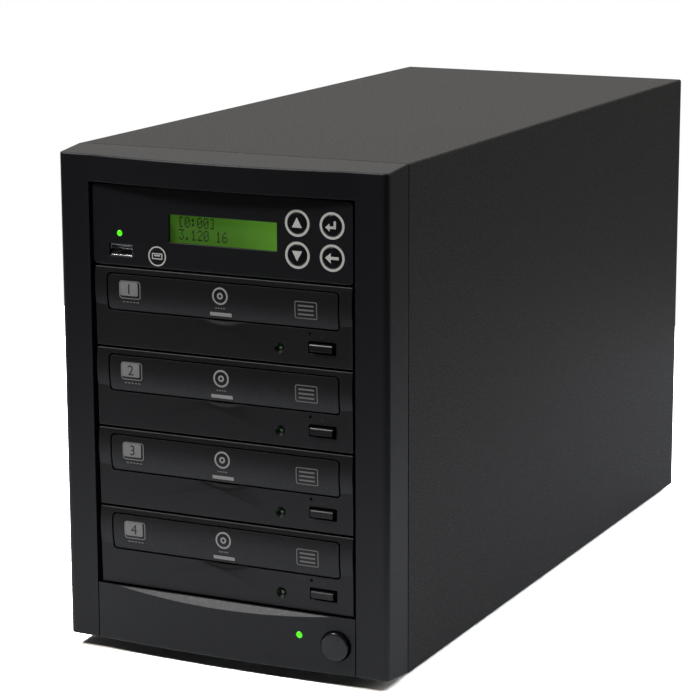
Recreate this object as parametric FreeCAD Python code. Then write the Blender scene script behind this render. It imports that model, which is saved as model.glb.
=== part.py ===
import FreeCAD, Part
import math, os

# An optical disc duplicator tower: a steel cover over a base pan, a bowed moulded
# front, four tray-loading disc drives, a control panel, a power supply and a fan.
# X runs to the viewer's right, the front faces -Y, +Z is up, lengths are in millimetres.
# The origin is on the ground, under the middle of the case.

V = FreeCAD.Vector
X_AXIS = V(1, 0, 0)
Y_AXIS = V(0, 1, 0)
Z_AXIS = V(0, 0, 1)

# Driving dimensions

# Clearances
FIT = 0.3
SCREW_FIT = 0.15
SHAFT_FIT = 0.05
SEAM_GAP = 0.4
PANEL_GAP = 0.25
FACE_GAP = 0.91
BAY_GAP = 2.2
KEY_GAP = 0.3
TRAY_GAP = 0.7
EJECT_GAP = 1.2
POWER_GAP = 0.6

# Steel cover, base pan and feet
SHEET = 1.0
COVER_HEIGHT = 264.0
COVER_LENGTH = 413.3
COVER_BEND = 1.4
COVER_LIP = 10.0
PAN_LIP = 15.0
FOOT_HEIGHT = 4.5
FOOT_RADIUS = 10.0
FOOT_DRAFT = 1.5
FOOT_INSET = 27.0

# Moulded front bezel
BEZEL_DEPTH = 21.9
BEZEL_BOW = 4.2
BEZEL_BOW_BLEND = 60.0
BEZEL_SIDE_TAPER = 0.8
BEZEL_TOP_TAPER = 2.2
BEZEL_FOOT_TAPER = 2.0
COLUMN_WIDTH = 18.7
TOP_BAND = 16.15
BEZEL_WALL = 2.5
BEZEL_UPRIGHT_ROUND = 3.0
BEZEL_TOP_ROUND = 0.9
BEZEL_FOOT_ROUND = 1.0
BEZEL_RAIL_DEPTH = 3.0
BEZEL_RAIL_HEIGHT = 12.0
PEG_RADIUS = 2.5
PEG_REACH = 6.0
PEG_LEVELS = (0.12, 0.5, 0.88)

# Bays and the lower panel
BAY_COUNT = 5
BAY_HEADROOM = 0.5
LOWER_HEIGHT = 32.8
LOWER_SIDE_WALL = 1.5
FACE_SETBACK = 5.6
LEDGE_REACH = 2.66
LEDGE_SLOPE = 1.316
LEDGE_GROOVE = 0.9
LEDGE_GROOVE_DEPTH = 3.0

# Power button at the right end of the lower panel, and its lamp
POWER_Z = 17.5
POWER_RADIUS = 7.6
POWER_PROUD = 2.6
POWER_DOME = 0.5
POWER_ROUND = 0.9
POWER_TRAVEL = 2.0
POWER_STEM_RADIUS = 2.5
POWER_FLANGE = 1.2
POWER_CATCH = 0.6
POWER_ROOM = 0.45
SWITCH_SIZE = 12.0
SWITCH_LENGTH = 9.0
LAMP_RADIUS = 1.8
LAMP_PROUD = 0.6
POWER_LAMP_PITCH = 20.2
POWER_LAMP_Z = 21.2

# Steel front frame and drive cage
FRAME_FLANGE = 12.0
CAGE_LENGTH = 145.0
CAGE_FLANGE = 8.0
BAY_SCREW_Y = 48.0
BAY_SCREW_PITCH = 79.2
BAY_SCREW_Z = 10.0

# Screws
SMALL_SCREW_RADIUS = 1.5
BIG_SCREW_RADIUS = 1.9
SCREW_HEAD_RADIUS = 3.4
SCREW_HEAD_HEIGHT = 2.0
SCREW_LENGTH = 6.0

# Faces of the drives and of the control panel
FACE_OVERHANG = 1.0
FACE_SHOULDER = 0.35
FACE_THICK = 5.0
FACE_ROUND = 0.5
CHANNEL_FOOT = 21.7
CHANNEL_LIP = 1.0
CHANNEL_DEPTH = 1.2

# Tray front, thumb scoop, lamp dish, pinhole and eject button of a drive, counted
# from the face's underside or from its right-hand edge
TRAY_FACE_OVERHANG = 1.35
TRAY_FACE_FOOT = 19.45
TRAY_FACE_MARGIN = 3.65
TRAY_FACE_THICK = 4.0
TRAY_FACE_ROUND = 1.8
SCOOP_HALF = 15.3
SCOOP_DROP = 3.6
SCOOP_DEPTH = 1.3
DISH_INSET = 40.95
DISH_Z = 7.8
DISH_RADIUS = 3.0
DISH_DEPTH = 2.2
DRIVE_LAMP_RADIUS = 1.2
PINHOLE_INSET = 23.7
PINHOLE_Z = 16.6
PINHOLE_RADIUS = 0.75
EJECT_INSET = 16.9
EJECT_Z = 9.65
EJECT_WIDTH = 13.2
EJECT_HEIGHT = 4.0
EJECT_CORNER = 0.6
EJECT_ROUND = 0.3
EJECT_SLOPE_HEIGHT = 1.4
EJECT_SLOPE_DEPTH = 0.9
EJECT_PROUD = 2.0
EJECT_FLANGE = 0.8
EJECT_TRAVEL = 1.2

# Drive body, disc tray and loader
DRIVE_LENGTH = 170.0
DRIVE_SHEET = 0.8
DRIVE_PORT_WIDTH = 52.0
DRIVE_PORT_HEIGHT = 9.0
TRAY_WIDTH = 130.0
TRAY_LENGTH = 160.0
TRAY_SLAB = 6.5
RUNNER_HEIGHT = 2.5
RUNNER_WIDTH = 3.0
TRAY_RIM = 4.3
DISC_MARGIN = 5.0
DISC_WELL_DEPTH = 3.2
SMALL_WELL_RADIUS = 41.0
SMALL_WELL_DEPTH = 1.3
SPINDLE_HOLE_RADIUS = 20.0
PICKUP_SLOT_HALF = 16.0
PICKUP_SLOT_LENGTH = 66.0
TRAY_TRAVEL = 140.0
LOADER_FRONT = 8.0
LOADER_FLOOR = 2.0
GUIDE_WIDTH = 2.0
GUIDE_RISE = 5.0
GUIDE_ROOM = 4.9
TURNTABLE_RADIUS = 15.0
TURNTABLE_HEIGHT = 1.6
HUB_RADIUS = 7.3
HUB_HEIGHT = 1.8
MOTOR_RADIUS = 13.0
MOTOR_HEIGHT = 6.0
SPINDLE_RADIUS = 1.5
SLED_WIDTH = 46.0
SLED_LENGTH = 26.0
SLED_HEIGHT = 8.0
ROD_RADIUS = 1.5
ROD_SPREAD = 18.0
ROD_LENGTH = 74.0
ROD_POST = 4.0
LENS_RADIUS = 3.0

# Control panel, display, keys, lamp and USB socket: the keys stand from the right-hand
# edge, the window beside them, the lamp and the socket from the left-hand edge
PANEL_THICK = 3.0
PANEL_CORNER = 2.6
KEY_INSET = 11.1
KEY_PITCH_X = 19.3
KEY_PITCH_Z = 16.15
KEY_RADIUS = 5.3
KEY_PROUD = 0.5
KEY_DOME = 0.3
KEY_ROUND = 0.25
KEY_FLANGE = 1.0
KEY_STEM_RADIUS = 1.7
KEY_SWITCH = 6.2
KEY_TRAVEL = 0.8
WINDOW_KEY_GAP = 11.5
WINDOW_RAISE = 0.2
WINDOW_WIDTH = 62.0
WINDOW_HEIGHT = 14.65
WINDOW_REBATE = 1.2
WINDOW_THICK = 1.4
DISPLAY_RIM = 4.0
DISPLAY_DEPTH = 6.0
USB_INSET = 15.5
USB_Z = 7.9
USB_WIDTH = 13.2
USB_HEIGHT = 5.9
USB_DEPTH = 14.0
USB_SHELL = 0.35
USB_RECESS = 0.8
USB_TONGUE_ROOM = 0.7
USB_TONGUE_THICK = 1.7
USB_TONGUE_BACK = 3.8
PANEL_LAMP_INSET = 14.9
PANEL_LAMP_Z = 16.8
PANEL_LAMP_RADIUS = 1.6
BOARD_THICK = 1.6
FRONT_BOARD_MARGIN = 2.0
POST_RADIUS = 2.2
POST_INSET = 2.6
PANEL_ARM_WIDTH = 2.0
PANEL_ARM_HEIGHT = 18.0
SLED_FRONT = 20.0
BAY_SLED_LENGTH = 125.0
BAY_SLED_WALL = 22.0
BAY_SLED_LIFT = 2.0
STANDOFF_HEIGHT = 5.0
STANDOFF_RADIUS = 3.0
MAIN_BOARD_ROOM = 11.0
MAIN_BOARD_LENGTH = 105.0
CHIP_SIZE = 24.0
CHIP_HEIGHT = 3.0
PORT_SIZE = 12.0
PORT_HEIGHT = 8.0
PORT_PITCH = 22.0

# Power supply, mains inlet and rocker switch
PSU_WIDTH = 150.0
PSU_LENGTH = 140.0
PSU_WINDOW_MARGIN = 3.0
PSU_SCREW_INSET = 6.0
PSU_FAN_ROOM = 1.95
INLET_ROOM = 0.6
INLET_Z = 24.0
INLET_WIDTH = 27.0
INLET_HEIGHT = 20.0
INLET_DEPTH = 18.0
INLET_RIM = 2.0
INLET_FLANGE = 2.5
INLET_SIDE_WALL = 1.3
INLET_LIP = 1.7
INLET_MOUTH_DEPTH = 16.0
INLET_CORNER = 4.0
PIN_WIDTH = 2.0
PIN_HEIGHT = 4.0
PIN_LENGTH = 10.0
PIN_SPREAD = 7.0
PIN_DROP = 2.0
ROCKER_Z = 60.0
ROCKER_WIDTH = 9.6
ROCKER_HEIGHT = 16.0
ROCKER_DEPTH = 6.0
ROCKER_DISH = 1.6
ROCKER_REST = 8.0
ROCKER_PIVOT = 1.5
ROCKER_FRAME_WALL = 2.0
ROCKER_FRAME_RIM = 1.6
ROCKER_FRAME_FLANGE = 1.6
ROCKER_FRAME_DEPTH = 14.0

# Fans, one in the power supply and one in the rear panel
FAN_SIZE = 80.0
FAN_DEPTH = 25.4
FAN_ROOM = 2.0
FAN_SKIN = 1.9
FAN_EDGE = 0.1
FAN_FLANGE = 4.0
FAN_CORNER = 4.0
FAN_HOLE_INSET = 4.25
FAN_HUB_RADIUS = 17.5
FAN_BASE_THICK = 3.5
FAN_STRUT = 3.5
FAN_SHAFT_RADIUS = 1.5
FAN_SHAFT_LENGTH = 14.0
FAN_BLADES = 7
FAN_BLADE_THICK = 1.5
FAN_BLADE_CAMBER = 1.6
FAN_ROOT_CHORD = 13.0
FAN_TIP_CHORD = 24.0
FAN_TIP_GAP = 1.2
FAN_HUB_GAP = 0.8
GRILLE_RINGS = 4
GRILLE_BORE = 10.0
GRILLE_WEB = 2.4
GRILLE_SPOKE = 3.0
VENT_ROWS = 7
VENT_PITCH = 7.0
VENT_WIDTH = 3.2
VENT_LENGTH = 28.0
VENT_X = 64.0

# Widths, worked out from the disc tray to the cover
DRIVE_WIDTH = TRAY_WIDTH + 2 * (FIT + GUIDE_WIDTH + GUIDE_ROOM + DRIVE_SHEET)
FACE_WIDTH = DRIVE_WIDTH + 2 * FACE_OVERHANG
BAY_WIDTH = FACE_WIDTH + 2 * BAY_GAP
COVER_WIDTH = BAY_WIDTH + 2 * COLUMN_WIDTH
DISC_WELL_RADIUS = TRAY_WIDTH / 2 - TRAY_RIM
TRAY_FACE_WIDTH = TRAY_WIDTH + 2 * TRAY_FACE_OVERHANG
FRONT_BOARD_WIDTH = DRIVE_WIDTH - 2 * (PANEL_ARM_WIDTH + FIT)
MAIN_BOARD_WIDTH = DRIVE_WIDTH - 2 * MAIN_BOARD_ROOM
USB_TONGUE_WIDTH = USB_WIDTH - 2 * (USB_SHELL + USB_TONGUE_ROOM)
HALF_WIDTH = COVER_WIDTH / 2
INNER_HALF = HALF_WIDTH - SHEET - FIT
OPEN_HALF = BAY_WIDTH / 2
FACE_HALF = FACE_WIDTH / 2
DRIVE_HALF = DRIVE_WIDTH / 2

# Heights, worked out from the cover to the drives
BAY_PITCH = (COVER_HEIGHT - LOWER_HEIGHT - BAY_HEADROOM - TOP_BAND) / BAY_COUNT
FACE_HEIGHT = BAY_PITCH - FACE_GAP
DRIVE_HEIGHT = FACE_HEIGHT - 2 * FACE_SHOULDER
TRAY_FACE_HEIGHT = FACE_HEIGHT - TRAY_FACE_FOOT - TRAY_FACE_MARGIN
TRAY_FACE_Z = TRAY_FACE_FOOT + TRAY_FACE_HEIGHT / 2
FRONT_BOARD_HEIGHT = FACE_HEIGHT - 2 * FRONT_BOARD_MARGIN

# Places on the drive faces, the control panel and the lower panel
DISH_X = FACE_HALF - DISH_INSET
PINHOLE_X = FACE_HALF - PINHOLE_INSET
EJECT_X = FACE_HALF - EJECT_INSET
KEY_RIGHT_X = FACE_HALF - KEY_INSET
KEY_LEFT_X = KEY_RIGHT_X - KEY_PITCH_X
WINDOW_X = KEY_LEFT_X - WINDOW_KEY_GAP - WINDOW_WIDTH / 2
WINDOW_Z = FACE_HEIGHT / 2 + WINDOW_RAISE
USB_X = USB_INSET - FACE_HALF
PANEL_LAMP_X = PANEL_LAMP_INSET - FACE_HALF
POWER_HOLE_RADIUS = POWER_RADIUS + POWER_GAP
POWER_COLLAR_RADIUS = POWER_HOLE_RADIUS + POWER_CATCH
POWER_X = OPEN_HALF - PANEL_GAP - LOWER_SIDE_WALL - POWER_ROOM - POWER_COLLAR_RADIUS
POWER_LAMP_X = POWER_X - POWER_LAMP_PITCH

# Sizes and places at the rear, worked out from the fan and the power supply
FAN_BORE = FAN_SIZE / 2 - FAN_SKIN - FAN_EDGE
FAN_HOLE_PITCH = FAN_SIZE - 2 * FAN_HOLE_INSET
PSU_HEIGHT = FAN_SIZE + 2 * (SHEET + FAN_ROOM)
PSU_WINDOW_HALF = PSU_WIDTH / 2 - PSU_SCREW_INSET - SCREW_HEAD_RADIUS - PSU_WINDOW_MARGIN / 2
PSU_FAN_X = FAN_HOLE_PITCH / 2 + SCREW_HEAD_RADIUS + PSU_FAN_ROOM - PSU_WINDOW_HALF
INLET_X = PSU_WINDOW_HALF - INLET_ROOM - INLET_RIM - INLET_WIDTH / 2
INLET_MOUTH_WIDTH = INLET_WIDTH - 2 * INLET_SIDE_WALL
INLET_MOUTH_HEIGHT = INLET_HEIGHT - 2 * INLET_LIP
ROCKER_X = INLET_X

# Levels and limits in the assembly
OVERALL = BEZEL_BOW + BEZEL_DEPTH + SEAM_GAP + COVER_LENGTH + SCREW_HEAD_HEIGHT
Y_FRONT = -OVERALL / 2
Y_CORNER = Y_FRONT + BEZEL_BOW
Y_BEZEL_BACK = Y_CORNER + BEZEL_DEPTH
Y_SEAM = Y_BEZEL_BACK + SEAM_GAP
Y_REAR = Y_SEAM + COVER_LENGTH
Y_REAR_PANEL = Y_REAR - 2 * SHEET
Y_FACE = Y_FRONT + FACE_SETBACK
Y_FRAME_BACK = Y_BEZEL_BACK + SHEET
Z_BASE = FOOT_HEIGHT
Z_DECK = Z_BASE + SHEET
Z_TOP = Z_BASE + COVER_HEIGHT
Z_LID = Z_TOP - SHEET - FIT
Z_BAYS = Z_BASE + LOWER_HEIGHT
Z_OPEN_TOP = Z_BAYS + BAY_COUNT * BAY_PITCH + BAY_HEADROOM
BOW_RADIUS = (OPEN_HALF ** 2 + BEZEL_BOW ** 2) / (2 * BEZEL_BOW)
CAGE_IN = DRIVE_HALF + FIT
CAGE_OUT = CAGE_IN + SHEET
BEYOND = 20.0
TOUCH = 0.001


# Basic solids

def block(x0, x1, y0, y1, z0, z1):
    """A box between two limits on each axis."""
    return Part.makeBox(x1 - x0, y1 - y0, z1 - z0, V(x0, y0, z0))


def bar_x(y, z, radius, x0, x1):
    return Part.makeCylinder(radius, x1 - x0, V(x0, y, z), X_AXIS)


def bar_y(x, z, radius, y0, y1):
    return Part.makeCylinder(radius, y1 - y0, V(x, y0, z), Y_AXIS)


def bar_z(x, y, radius, z0, z1):
    return Part.makeCylinder(radius, z1 - z0, V(x, y, z0), Z_AXIS)


def prism_x(points, x0, x1):
    """An outline of (y, z) points pushed along X."""
    corners = [V(x0, y, z) for y, z in points]
    outline = Part.makePolygon(corners + corners[:1])
    return Part.Face(outline).extrude(V(x1 - x0, 0, 0))


def rounded(shape, radius, axis):
    """The shape with its straight edges along an axis rounded."""
    along = [e for e in shape.Edges if abs(e.tangentAt(e.FirstParameter).dot(axis)) > 0.999]
    return shape.makeFillet(radius, along)


def edges_at(shape, y):
    """Edges that lie wholly in one plane across Y."""
    flat = []
    for edge in shape.Edges:
        box = edge.BoundBox
        if abs(box.YMin - y) < TOUCH and abs(box.YMax - y) < TOUCH:
            flat.append(edge)
    return flat


def domed_pin(x, z, radius, y_tip, y_back, dome, soft):
    """A round pin whose front is a shallow dome with a softened rim."""
    ball = (radius ** 2 + dome ** 2) / (2 * dome)
    halfway = V(radius / 2, y_tip + ball - math.sqrt(ball ** 2 - radius ** 2 / 4), 0)
    tip, rim = V(0, y_tip, 0), V(radius, y_tip + dome, 0)
    crown = Part.Arc(tip, halfway, rim).toShape()
    barrel = Part.makePolygon([rim, V(radius, y_back, 0), V(0, y_back, 0), tip])
    pin = Part.Face(Part.Wire([crown] + barrel.Edges)).revolve(V(0, 0, 0), Y_AXIS, 360)
    pin = pin.makeFillet(soft, edges_at(pin, rim.y))
    return moved(pin, x, 0, z)


def joined(shapes):
    """Several touching or overlapping solids as one."""
    whole = shapes[0].multiFuse(shapes[1:])
    return whole.removeSplitter()


def both_sides(shape):
    """A shape and its mirror image across the middle plane."""
    return [shape, shape.mirror(V(0, 0, 0), X_AXIS)]


def moved(shape, x, y, z):
    copy = shape.copy()
    copy.translate(V(x, y, z))
    return copy


def face_base(bay):
    """Height of the underside of the face plate in a bay, counted from the lowest."""
    return Z_BAYS + bay * BAY_PITCH + (BAY_PITCH - FACE_HEIGHT) / 2


def in_bay(shape, bay):
    """A shape drawn round a face plate, set into its bay."""
    return moved(shape, 0, Y_FACE, face_base(bay))


# Cover, base pan and feet

def cover_block(inset, bend, y0, y1):
    """Outer or inner form of the cover, open downwards where it is taken in."""
    half = HALF_WIDTH - inset
    low = Z_BASE - BEYOND if inset else Z_BASE
    form = block(-half, half, y0, y1, low, Z_TOP - inset)
    top = [e for e in form.Edges if e.BoundBox.ZMin > Z_TOP - inset - TOUCH and e.BoundBox.YLength > TOUCH
           and e.BoundBox.XLength < TOUCH]
    return form.makeFillet(bend, top)


def cover_screw_places():
    """Screws through the cover's rear lip, three down each side."""
    levels = [Z_BASE + COVER_HEIGHT * share for share in (0.1, 0.5, 0.9)]
    across = HALF_WIDTH - COVER_LIP / 2
    return [(side * across, level) for side in (-1, 1) for level in levels]


def make_cover():
    wrap = cover_block(0, COVER_BEND, Y_SEAM, Y_REAR)
    wrap = wrap.cut(cover_block(SHEET, COVER_BEND - SHEET, Y_SEAM - BEYOND, Y_REAR - SHEET))
    mouth = block(-HALF_WIDTH + COVER_LIP, HALF_WIDTH - COVER_LIP, Y_REAR - BEYOND, Y_REAR + BEYOND,
                  Z_BASE - BEYOND, Z_TOP - COVER_LIP)
    wrap = wrap.cut(mouth)
    for x, z in cover_screw_places():
        wrap = wrap.cut(bar_y(x, z, BIG_SCREW_RADIUS + SCREW_FIT, Y_REAR - BEYOND, Y_REAR + BEYOND))
    return wrap


def make_base_pan():
    floor = block(-INNER_HALF, INNER_HALF, Y_BEZEL_BACK, Y_REAR - SHEET, Z_BASE, Z_DECK)
    lip = block(INNER_HALF - SHEET, INNER_HALF, Y_FRAME_BACK + FRAME_FLANGE + FIT, Y_REAR_PANEL,
                Z_BASE, Z_BASE + PAN_LIP)
    return joined([floor] + both_sides(lip))


def make_feet():
    """Four tapered rubber feet under the base pan."""
    foot = Part.makeCone(FOOT_RADIUS - FOOT_DRAFT, FOOT_RADIUS, FOOT_HEIGHT)
    across = HALF_WIDTH - FOOT_INSET
    along = (Y_SEAM + FOOT_INSET, Y_REAR - FOOT_INSET)
    return [moved(foot, side * across, y, 0) for side in (-1, 1) for y in along]


# Moulded front

def bow_y(x):
    """Where the front lies at a distance from the middle: bowed, and flat on the columns."""
    reach = min(abs(x), OPEN_HALF)
    return Y_FRONT + BOW_RADIUS - math.sqrt(BOW_RADIUS ** 2 - reach ** 2)


def bezel_outline(y, inset):
    """Outline of the tapered bezel at a depth, its walls taken in by inset."""
    share = (Y_BEZEL_BACK - y) / BEZEL_DEPTH
    half = HALF_WIDTH - inset - BEZEL_SIDE_TAPER * share
    low = Z_BASE + inset + BEZEL_FOOT_TAPER * share
    high = Z_TOP - inset - BEZEL_TOP_TAPER * share
    corners = [V(-half, y, low), V(half, y, low), V(half, y, high), V(-half, y, high)]
    return Part.makePolygon(corners + corners[:1])


def front_plan(inset, back):
    """Plan of the front, taken in by inset: a bow that runs softly into two flat columns."""
    bow = BOW_RADIUS - inset
    blend = BEZEL_BOW_BLEND + inset
    reach = BOW_RADIUS + BEZEL_BOW_BLEND
    flat = math.sqrt(BEZEL_BOW * (2 * reach - BEZEL_BOW))
    turn = math.asin(flat / reach)
    axis, column = Y_FRONT + BOW_RADIUS, Y_CORNER + inset

    def on_bow(angle):
        return V(bow * math.sin(angle), axis - bow * math.cos(angle), 0)

    def on_blend(side, angle):
        return V(side * (flat - blend * math.sin(angle)), Y_CORNER - BEZEL_BOW_BLEND + blend * math.cos(angle), 0)

    ends = [V(side * HALF_WIDTH, column, 0) for side in (-1, 1)]
    rear = [V(side * HALF_WIDTH, back, 0) for side in (1, -1)]
    flats = [V(side * flat, column, 0) for side in (-1, 1)]
    edges = [Part.makeLine(ends[0], flats[0]),
             Part.Arc(flats[0], on_blend(-1, turn / 2), on_bow(-turn)).toShape(),
             Part.Arc(on_bow(-turn), on_bow(0), on_bow(turn)).toShape(),
             Part.Arc(on_bow(turn), on_blend(1, turn / 2), flats[1]).toShape(),
             Part.makeLine(flats[1], ends[1])]
    outline = Part.makePolygon([ends[1]] + rear + [ends[0]])
    return Part.Face(Part.Wire(edges + outline.Edges))


def bezel_form(inset, back):
    """The tapered block behind the bowed front and its flat columns."""
    taper = Part.makeLoft([bezel_outline(Y_FRONT - BEZEL_WALL, inset), bezel_outline(back, inset)], True, True)
    front = front_plan(inset, back + BEYOND).extrude(V(0, 0, COVER_HEIGHT + 2 * BEYOND))
    return taper.common(moved(front, 0, 0, Z_BASE - BEYOND))


def softened_bezel():
    """The outer form with rounded uprights, a rounded top outline and a small round below."""
    form = bezel_form(0, Y_BEZEL_BACK)
    uprights = [e for e in form.Edges if e.BoundBox.ZLength > COVER_HEIGHT / 2
                and e.BoundBox.YMax < Y_BEZEL_BACK - TOUCH
                and abs(e.BoundBox.Center.x) > HALF_WIDTH - COLUMN_WIDTH / 2]
    form = form.makeFillet(BEZEL_UPRIGHT_ROUND, uprights)
    middle = Z_BASE + COVER_HEIGHT / 2
    for radius, above in ((BEZEL_TOP_ROUND, True), (BEZEL_FOOT_ROUND, False)):
        rim = [e for e in form.Edges if (e.BoundBox.ZMin > middle) == above
               and (e.BoundBox.ZMax > middle) == above and e.BoundBox.YMin < Y_BEZEL_BACK - TOUCH]
        form = form.makeFillet(radius, rim)
    return form


def bezel_peg_places():
    """Pegs behind the side columns that push into the steel front frame."""
    across = (CAGE_OUT + CAGE_FLANGE + INNER_HALF - SHEET) / 2
    return [(side * across, Z_BASE + COVER_HEIGHT * share) for side in (-1, 1) for share in PEG_LEVELS]


def make_front_bezel(form):
    shell = form.cut(bezel_form(BEZEL_WALL, Y_BEZEL_BACK + BEZEL_WALL))
    rim = OPEN_HALF + BEZEL_WALL
    sleeve = form.common(block(-rim, rim, Y_FRONT - BEYOND, Y_BEZEL_BACK, Z_BASE, Z_OPEN_TOP + BEZEL_WALL))
    opening = block(-OPEN_HALF, OPEN_HALF, Y_FRONT - BEYOND, Y_BEZEL_BACK + BEYOND, Z_BASE - BEYOND, Z_OPEN_TOP)
    frame = shell.fuse(sleeve).cut(opening)
    rail = block(-rim, rim, Y_BEZEL_BACK - BEZEL_RAIL_DEPTH, Y_BEZEL_BACK,
                 Z_BASE + BEZEL_FOOT_TAPER, Z_BASE + BEZEL_RAIL_HEIGHT)
    pegs = [bar_y(x, z, PEG_RADIUS, bow_y(x) + BEZEL_WALL / 2, Y_BEZEL_BACK + PEG_REACH)
            for x, z in bezel_peg_places()]
    return joined([frame, rail] + pegs)


def ledge_cut(drop):
    """What the sloping ledge takes off the top of the lower panel, lowered by drop."""
    start = Y_FACE - LEDGE_REACH
    level = Z_BAYS - drop
    tip = Y_FRONT - BEYOND
    low = level - LEDGE_SLOPE * (start - tip)
    return prism_x([(start, level), (tip, low), (tip, level + BEYOND), (start, level + BEYOND)],
                   -HALF_WIDTH, HALF_WIDTH)


def make_lower_panel(form):
    half = OPEN_HALF - PANEL_GAP
    back = Y_BEZEL_BACK - BEZEL_RAIL_DEPTH - FIT
    body = form.common(block(-half, half, Y_FRONT - BEYOND, back, Z_BASE - BEYOND, Z_BAYS))
    body = body.cut(ledge_cut(0))
    groove = block(-HALF_WIDTH, HALF_WIDTH, Y_FACE - LEDGE_GROOVE, Y_FACE + LEDGE_GROOVE,
                   Z_BAYS - LEDGE_GROOVE_DEPTH, Z_BAYS + BEYOND)
    body = body.cut(groove)
    room = bezel_form(BEZEL_WALL, back + BEZEL_WALL)
    ceiling = Z_BAYS - LEDGE_GROOVE_DEPTH - BEZEL_WALL
    inner = half - LOWER_SIDE_WALL
    room = room.common(block(-inner, inner, Y_FRONT, back + BEYOND, Z_BASE, ceiling))
    room = room.cut(ledge_cut(BEZEL_WALL * math.hypot(1, LEDGE_SLOPE)))
    body = body.cut(room)
    guide_end = bow_y(POWER_X) + BEZEL_WALL + POWER_TRAVEL
    guide = bar_y(POWER_X, Z_BASE + POWER_Z, POWER_HOLE_RADIUS + LOWER_SIDE_WALL, bow_y(POWER_X) + BEZEL_WALL / 2,
                  guide_end)
    body = joined([body, guide.common(room)])
    body = body.cut(bar_y(POWER_X, Z_BASE + POWER_Z, POWER_HOLE_RADIUS, Y_FRONT - BEYOND, back + BEYOND))
    return body.cut(bar_y(POWER_LAMP_X, Z_BASE + POWER_LAMP_Z, LAMP_RADIUS + SHAFT_FIT, Y_FRONT - BEYOND,
                          back + BEYOND))


def make_power_button():
    """A round cap with a flange that stops it behind the panel, and a stem to the switch."""
    level = Z_BASE + POWER_Z
    face = bow_y(POWER_X) - POWER_PROUD
    flange = bow_y(POWER_X) + BEZEL_WALL + POWER_TRAVEL + FIT
    cap = domed_pin(POWER_X, level, POWER_RADIUS, face, flange + POWER_FLANGE, POWER_DOME, POWER_ROUND)
    collar = bar_y(POWER_X, level, POWER_COLLAR_RADIUS, flange, flange + POWER_FLANGE)
    stem = bar_y(POWER_X, level, POWER_STEM_RADIUS, flange, switch_front() + SWITCH_LENGTH / 2)
    return joined([cap, collar, stem])


def switch_front():
    return Y_BEZEL_BACK - BEZEL_RAIL_DEPTH / 2


def make_power_switch():
    """The push switch in the front frame, bored for the button's stem."""
    level = Z_BASE + POWER_Z
    reach = SWITCH_SIZE / 2
    body = block(POWER_X - reach + SHEET, POWER_X + reach - SHEET, Y_BEZEL_BACK, switch_front() + SWITCH_LENGTH,
                 level - reach + SHEET, level + reach - SHEET)
    rim = block(POWER_X - reach - SHEET, POWER_X + reach + SHEET, Y_FRAME_BACK, Y_FRAME_BACK + SHEET,
                level - reach - SHEET, level + reach + SHEET)
    bore_end = switch_front() + SWITCH_LENGTH / 2 + POWER_TRAVEL + FIT
    bore = bar_y(POWER_X, level, POWER_STEM_RADIUS + FIT, Y_BEZEL_BACK - BEYOND, bore_end)
    return joined([body, rim]).cut(bore)


def lamp(x, z, radius, y_tip, y_back):
    """A clear round lens with a domed tip that faces the front."""
    barrel = bar_y(x, z, radius, y_tip + radius / 2, y_back)
    sphere = Part.makeSphere(radius * 1.25, V(x, y_tip + radius * 1.25, z))
    dome = sphere.common(bar_y(x, z, radius, y_tip - radius, y_tip + radius / 2))
    return joined([barrel, dome])


def make_power_lamp():
    tip = bow_y(POWER_LAMP_X) - LAMP_PROUD
    return lamp(POWER_LAMP_X, Z_BASE + POWER_LAMP_Z, LAMP_RADIUS, tip, tip + 3 * BEZEL_WALL)


# Steel front frame, drive cage and rear panel

def make_front_frame():
    plate = block(-INNER_HALF, INNER_HALF, Y_BEZEL_BACK, Y_FRAME_BACK, Z_DECK, Z_LID)
    flange = block(INNER_HALF - SHEET, INNER_HALF, Y_BEZEL_BACK, Y_FRAME_BACK + FRAME_FLANGE, Z_DECK, Z_LID - COVER_BEND)
    frame = joined([plate] + both_sides(flange))
    opening = DRIVE_HALF + SHEET
    frame = frame.cut(block(-opening, opening, Y_FRONT, Y_REAR, Z_BAYS, Z_OPEN_TOP))
    for x, z in bezel_peg_places():
        frame = frame.cut(bar_y(x, z, PEG_RADIUS + SCREW_FIT, Y_FRONT, Y_REAR))
    reach = SWITCH_SIZE / 2 - SHEET + SCREW_FIT
    level = Z_BASE + POWER_Z
    return frame.cut(block(POWER_X - reach, POWER_X + reach, Y_FRONT, Y_REAR, level - reach, level + reach))


def bay_screw_places():
    """Side screw positions along the drives: two in each bay."""
    along = [Y_FACE + BAY_SCREW_Y, Y_FACE + BAY_SCREW_Y + BAY_SCREW_PITCH]
    levels = [face_base(bay) + BAY_SCREW_Z for bay in range(BAY_COUNT)]
    return [(y, z) for y in along for z in levels]


def make_cage_side():
    """The right-hand drive cage plate, flanged against the front frame."""
    plate = block(CAGE_IN, CAGE_OUT, Y_FRAME_BACK, Y_FRAME_BACK + CAGE_LENGTH, Z_DECK, Z_OPEN_TOP)
    flange = block(CAGE_IN, CAGE_OUT + CAGE_FLANGE, Y_FRAME_BACK, Y_FRAME_BACK + SHEET,
                   Z_BAYS, Z_OPEN_TOP)
    cage = joined([plate, flange])
    for y, z in bay_screw_places():
        cage = cage.cut(bar_x(y, z, SMALL_SCREW_RADIUS + SCREW_FIT, 0, HALF_WIDTH))
    return cage


def make_drive_screws():
    """Pan-head screws through the cage plates into the drives' sides."""
    screws = []
    for y, z in bay_screw_places():
        head = bar_x(y, z, SCREW_HEAD_RADIUS, CAGE_OUT, CAGE_OUT + SCREW_HEAD_HEIGHT)
        shank = bar_x(y, z, SMALL_SCREW_RADIUS, CAGE_OUT - SCREW_LENGTH, CAGE_OUT)
        screws += both_sides(joined([head, shank]))
    return screws


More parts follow.
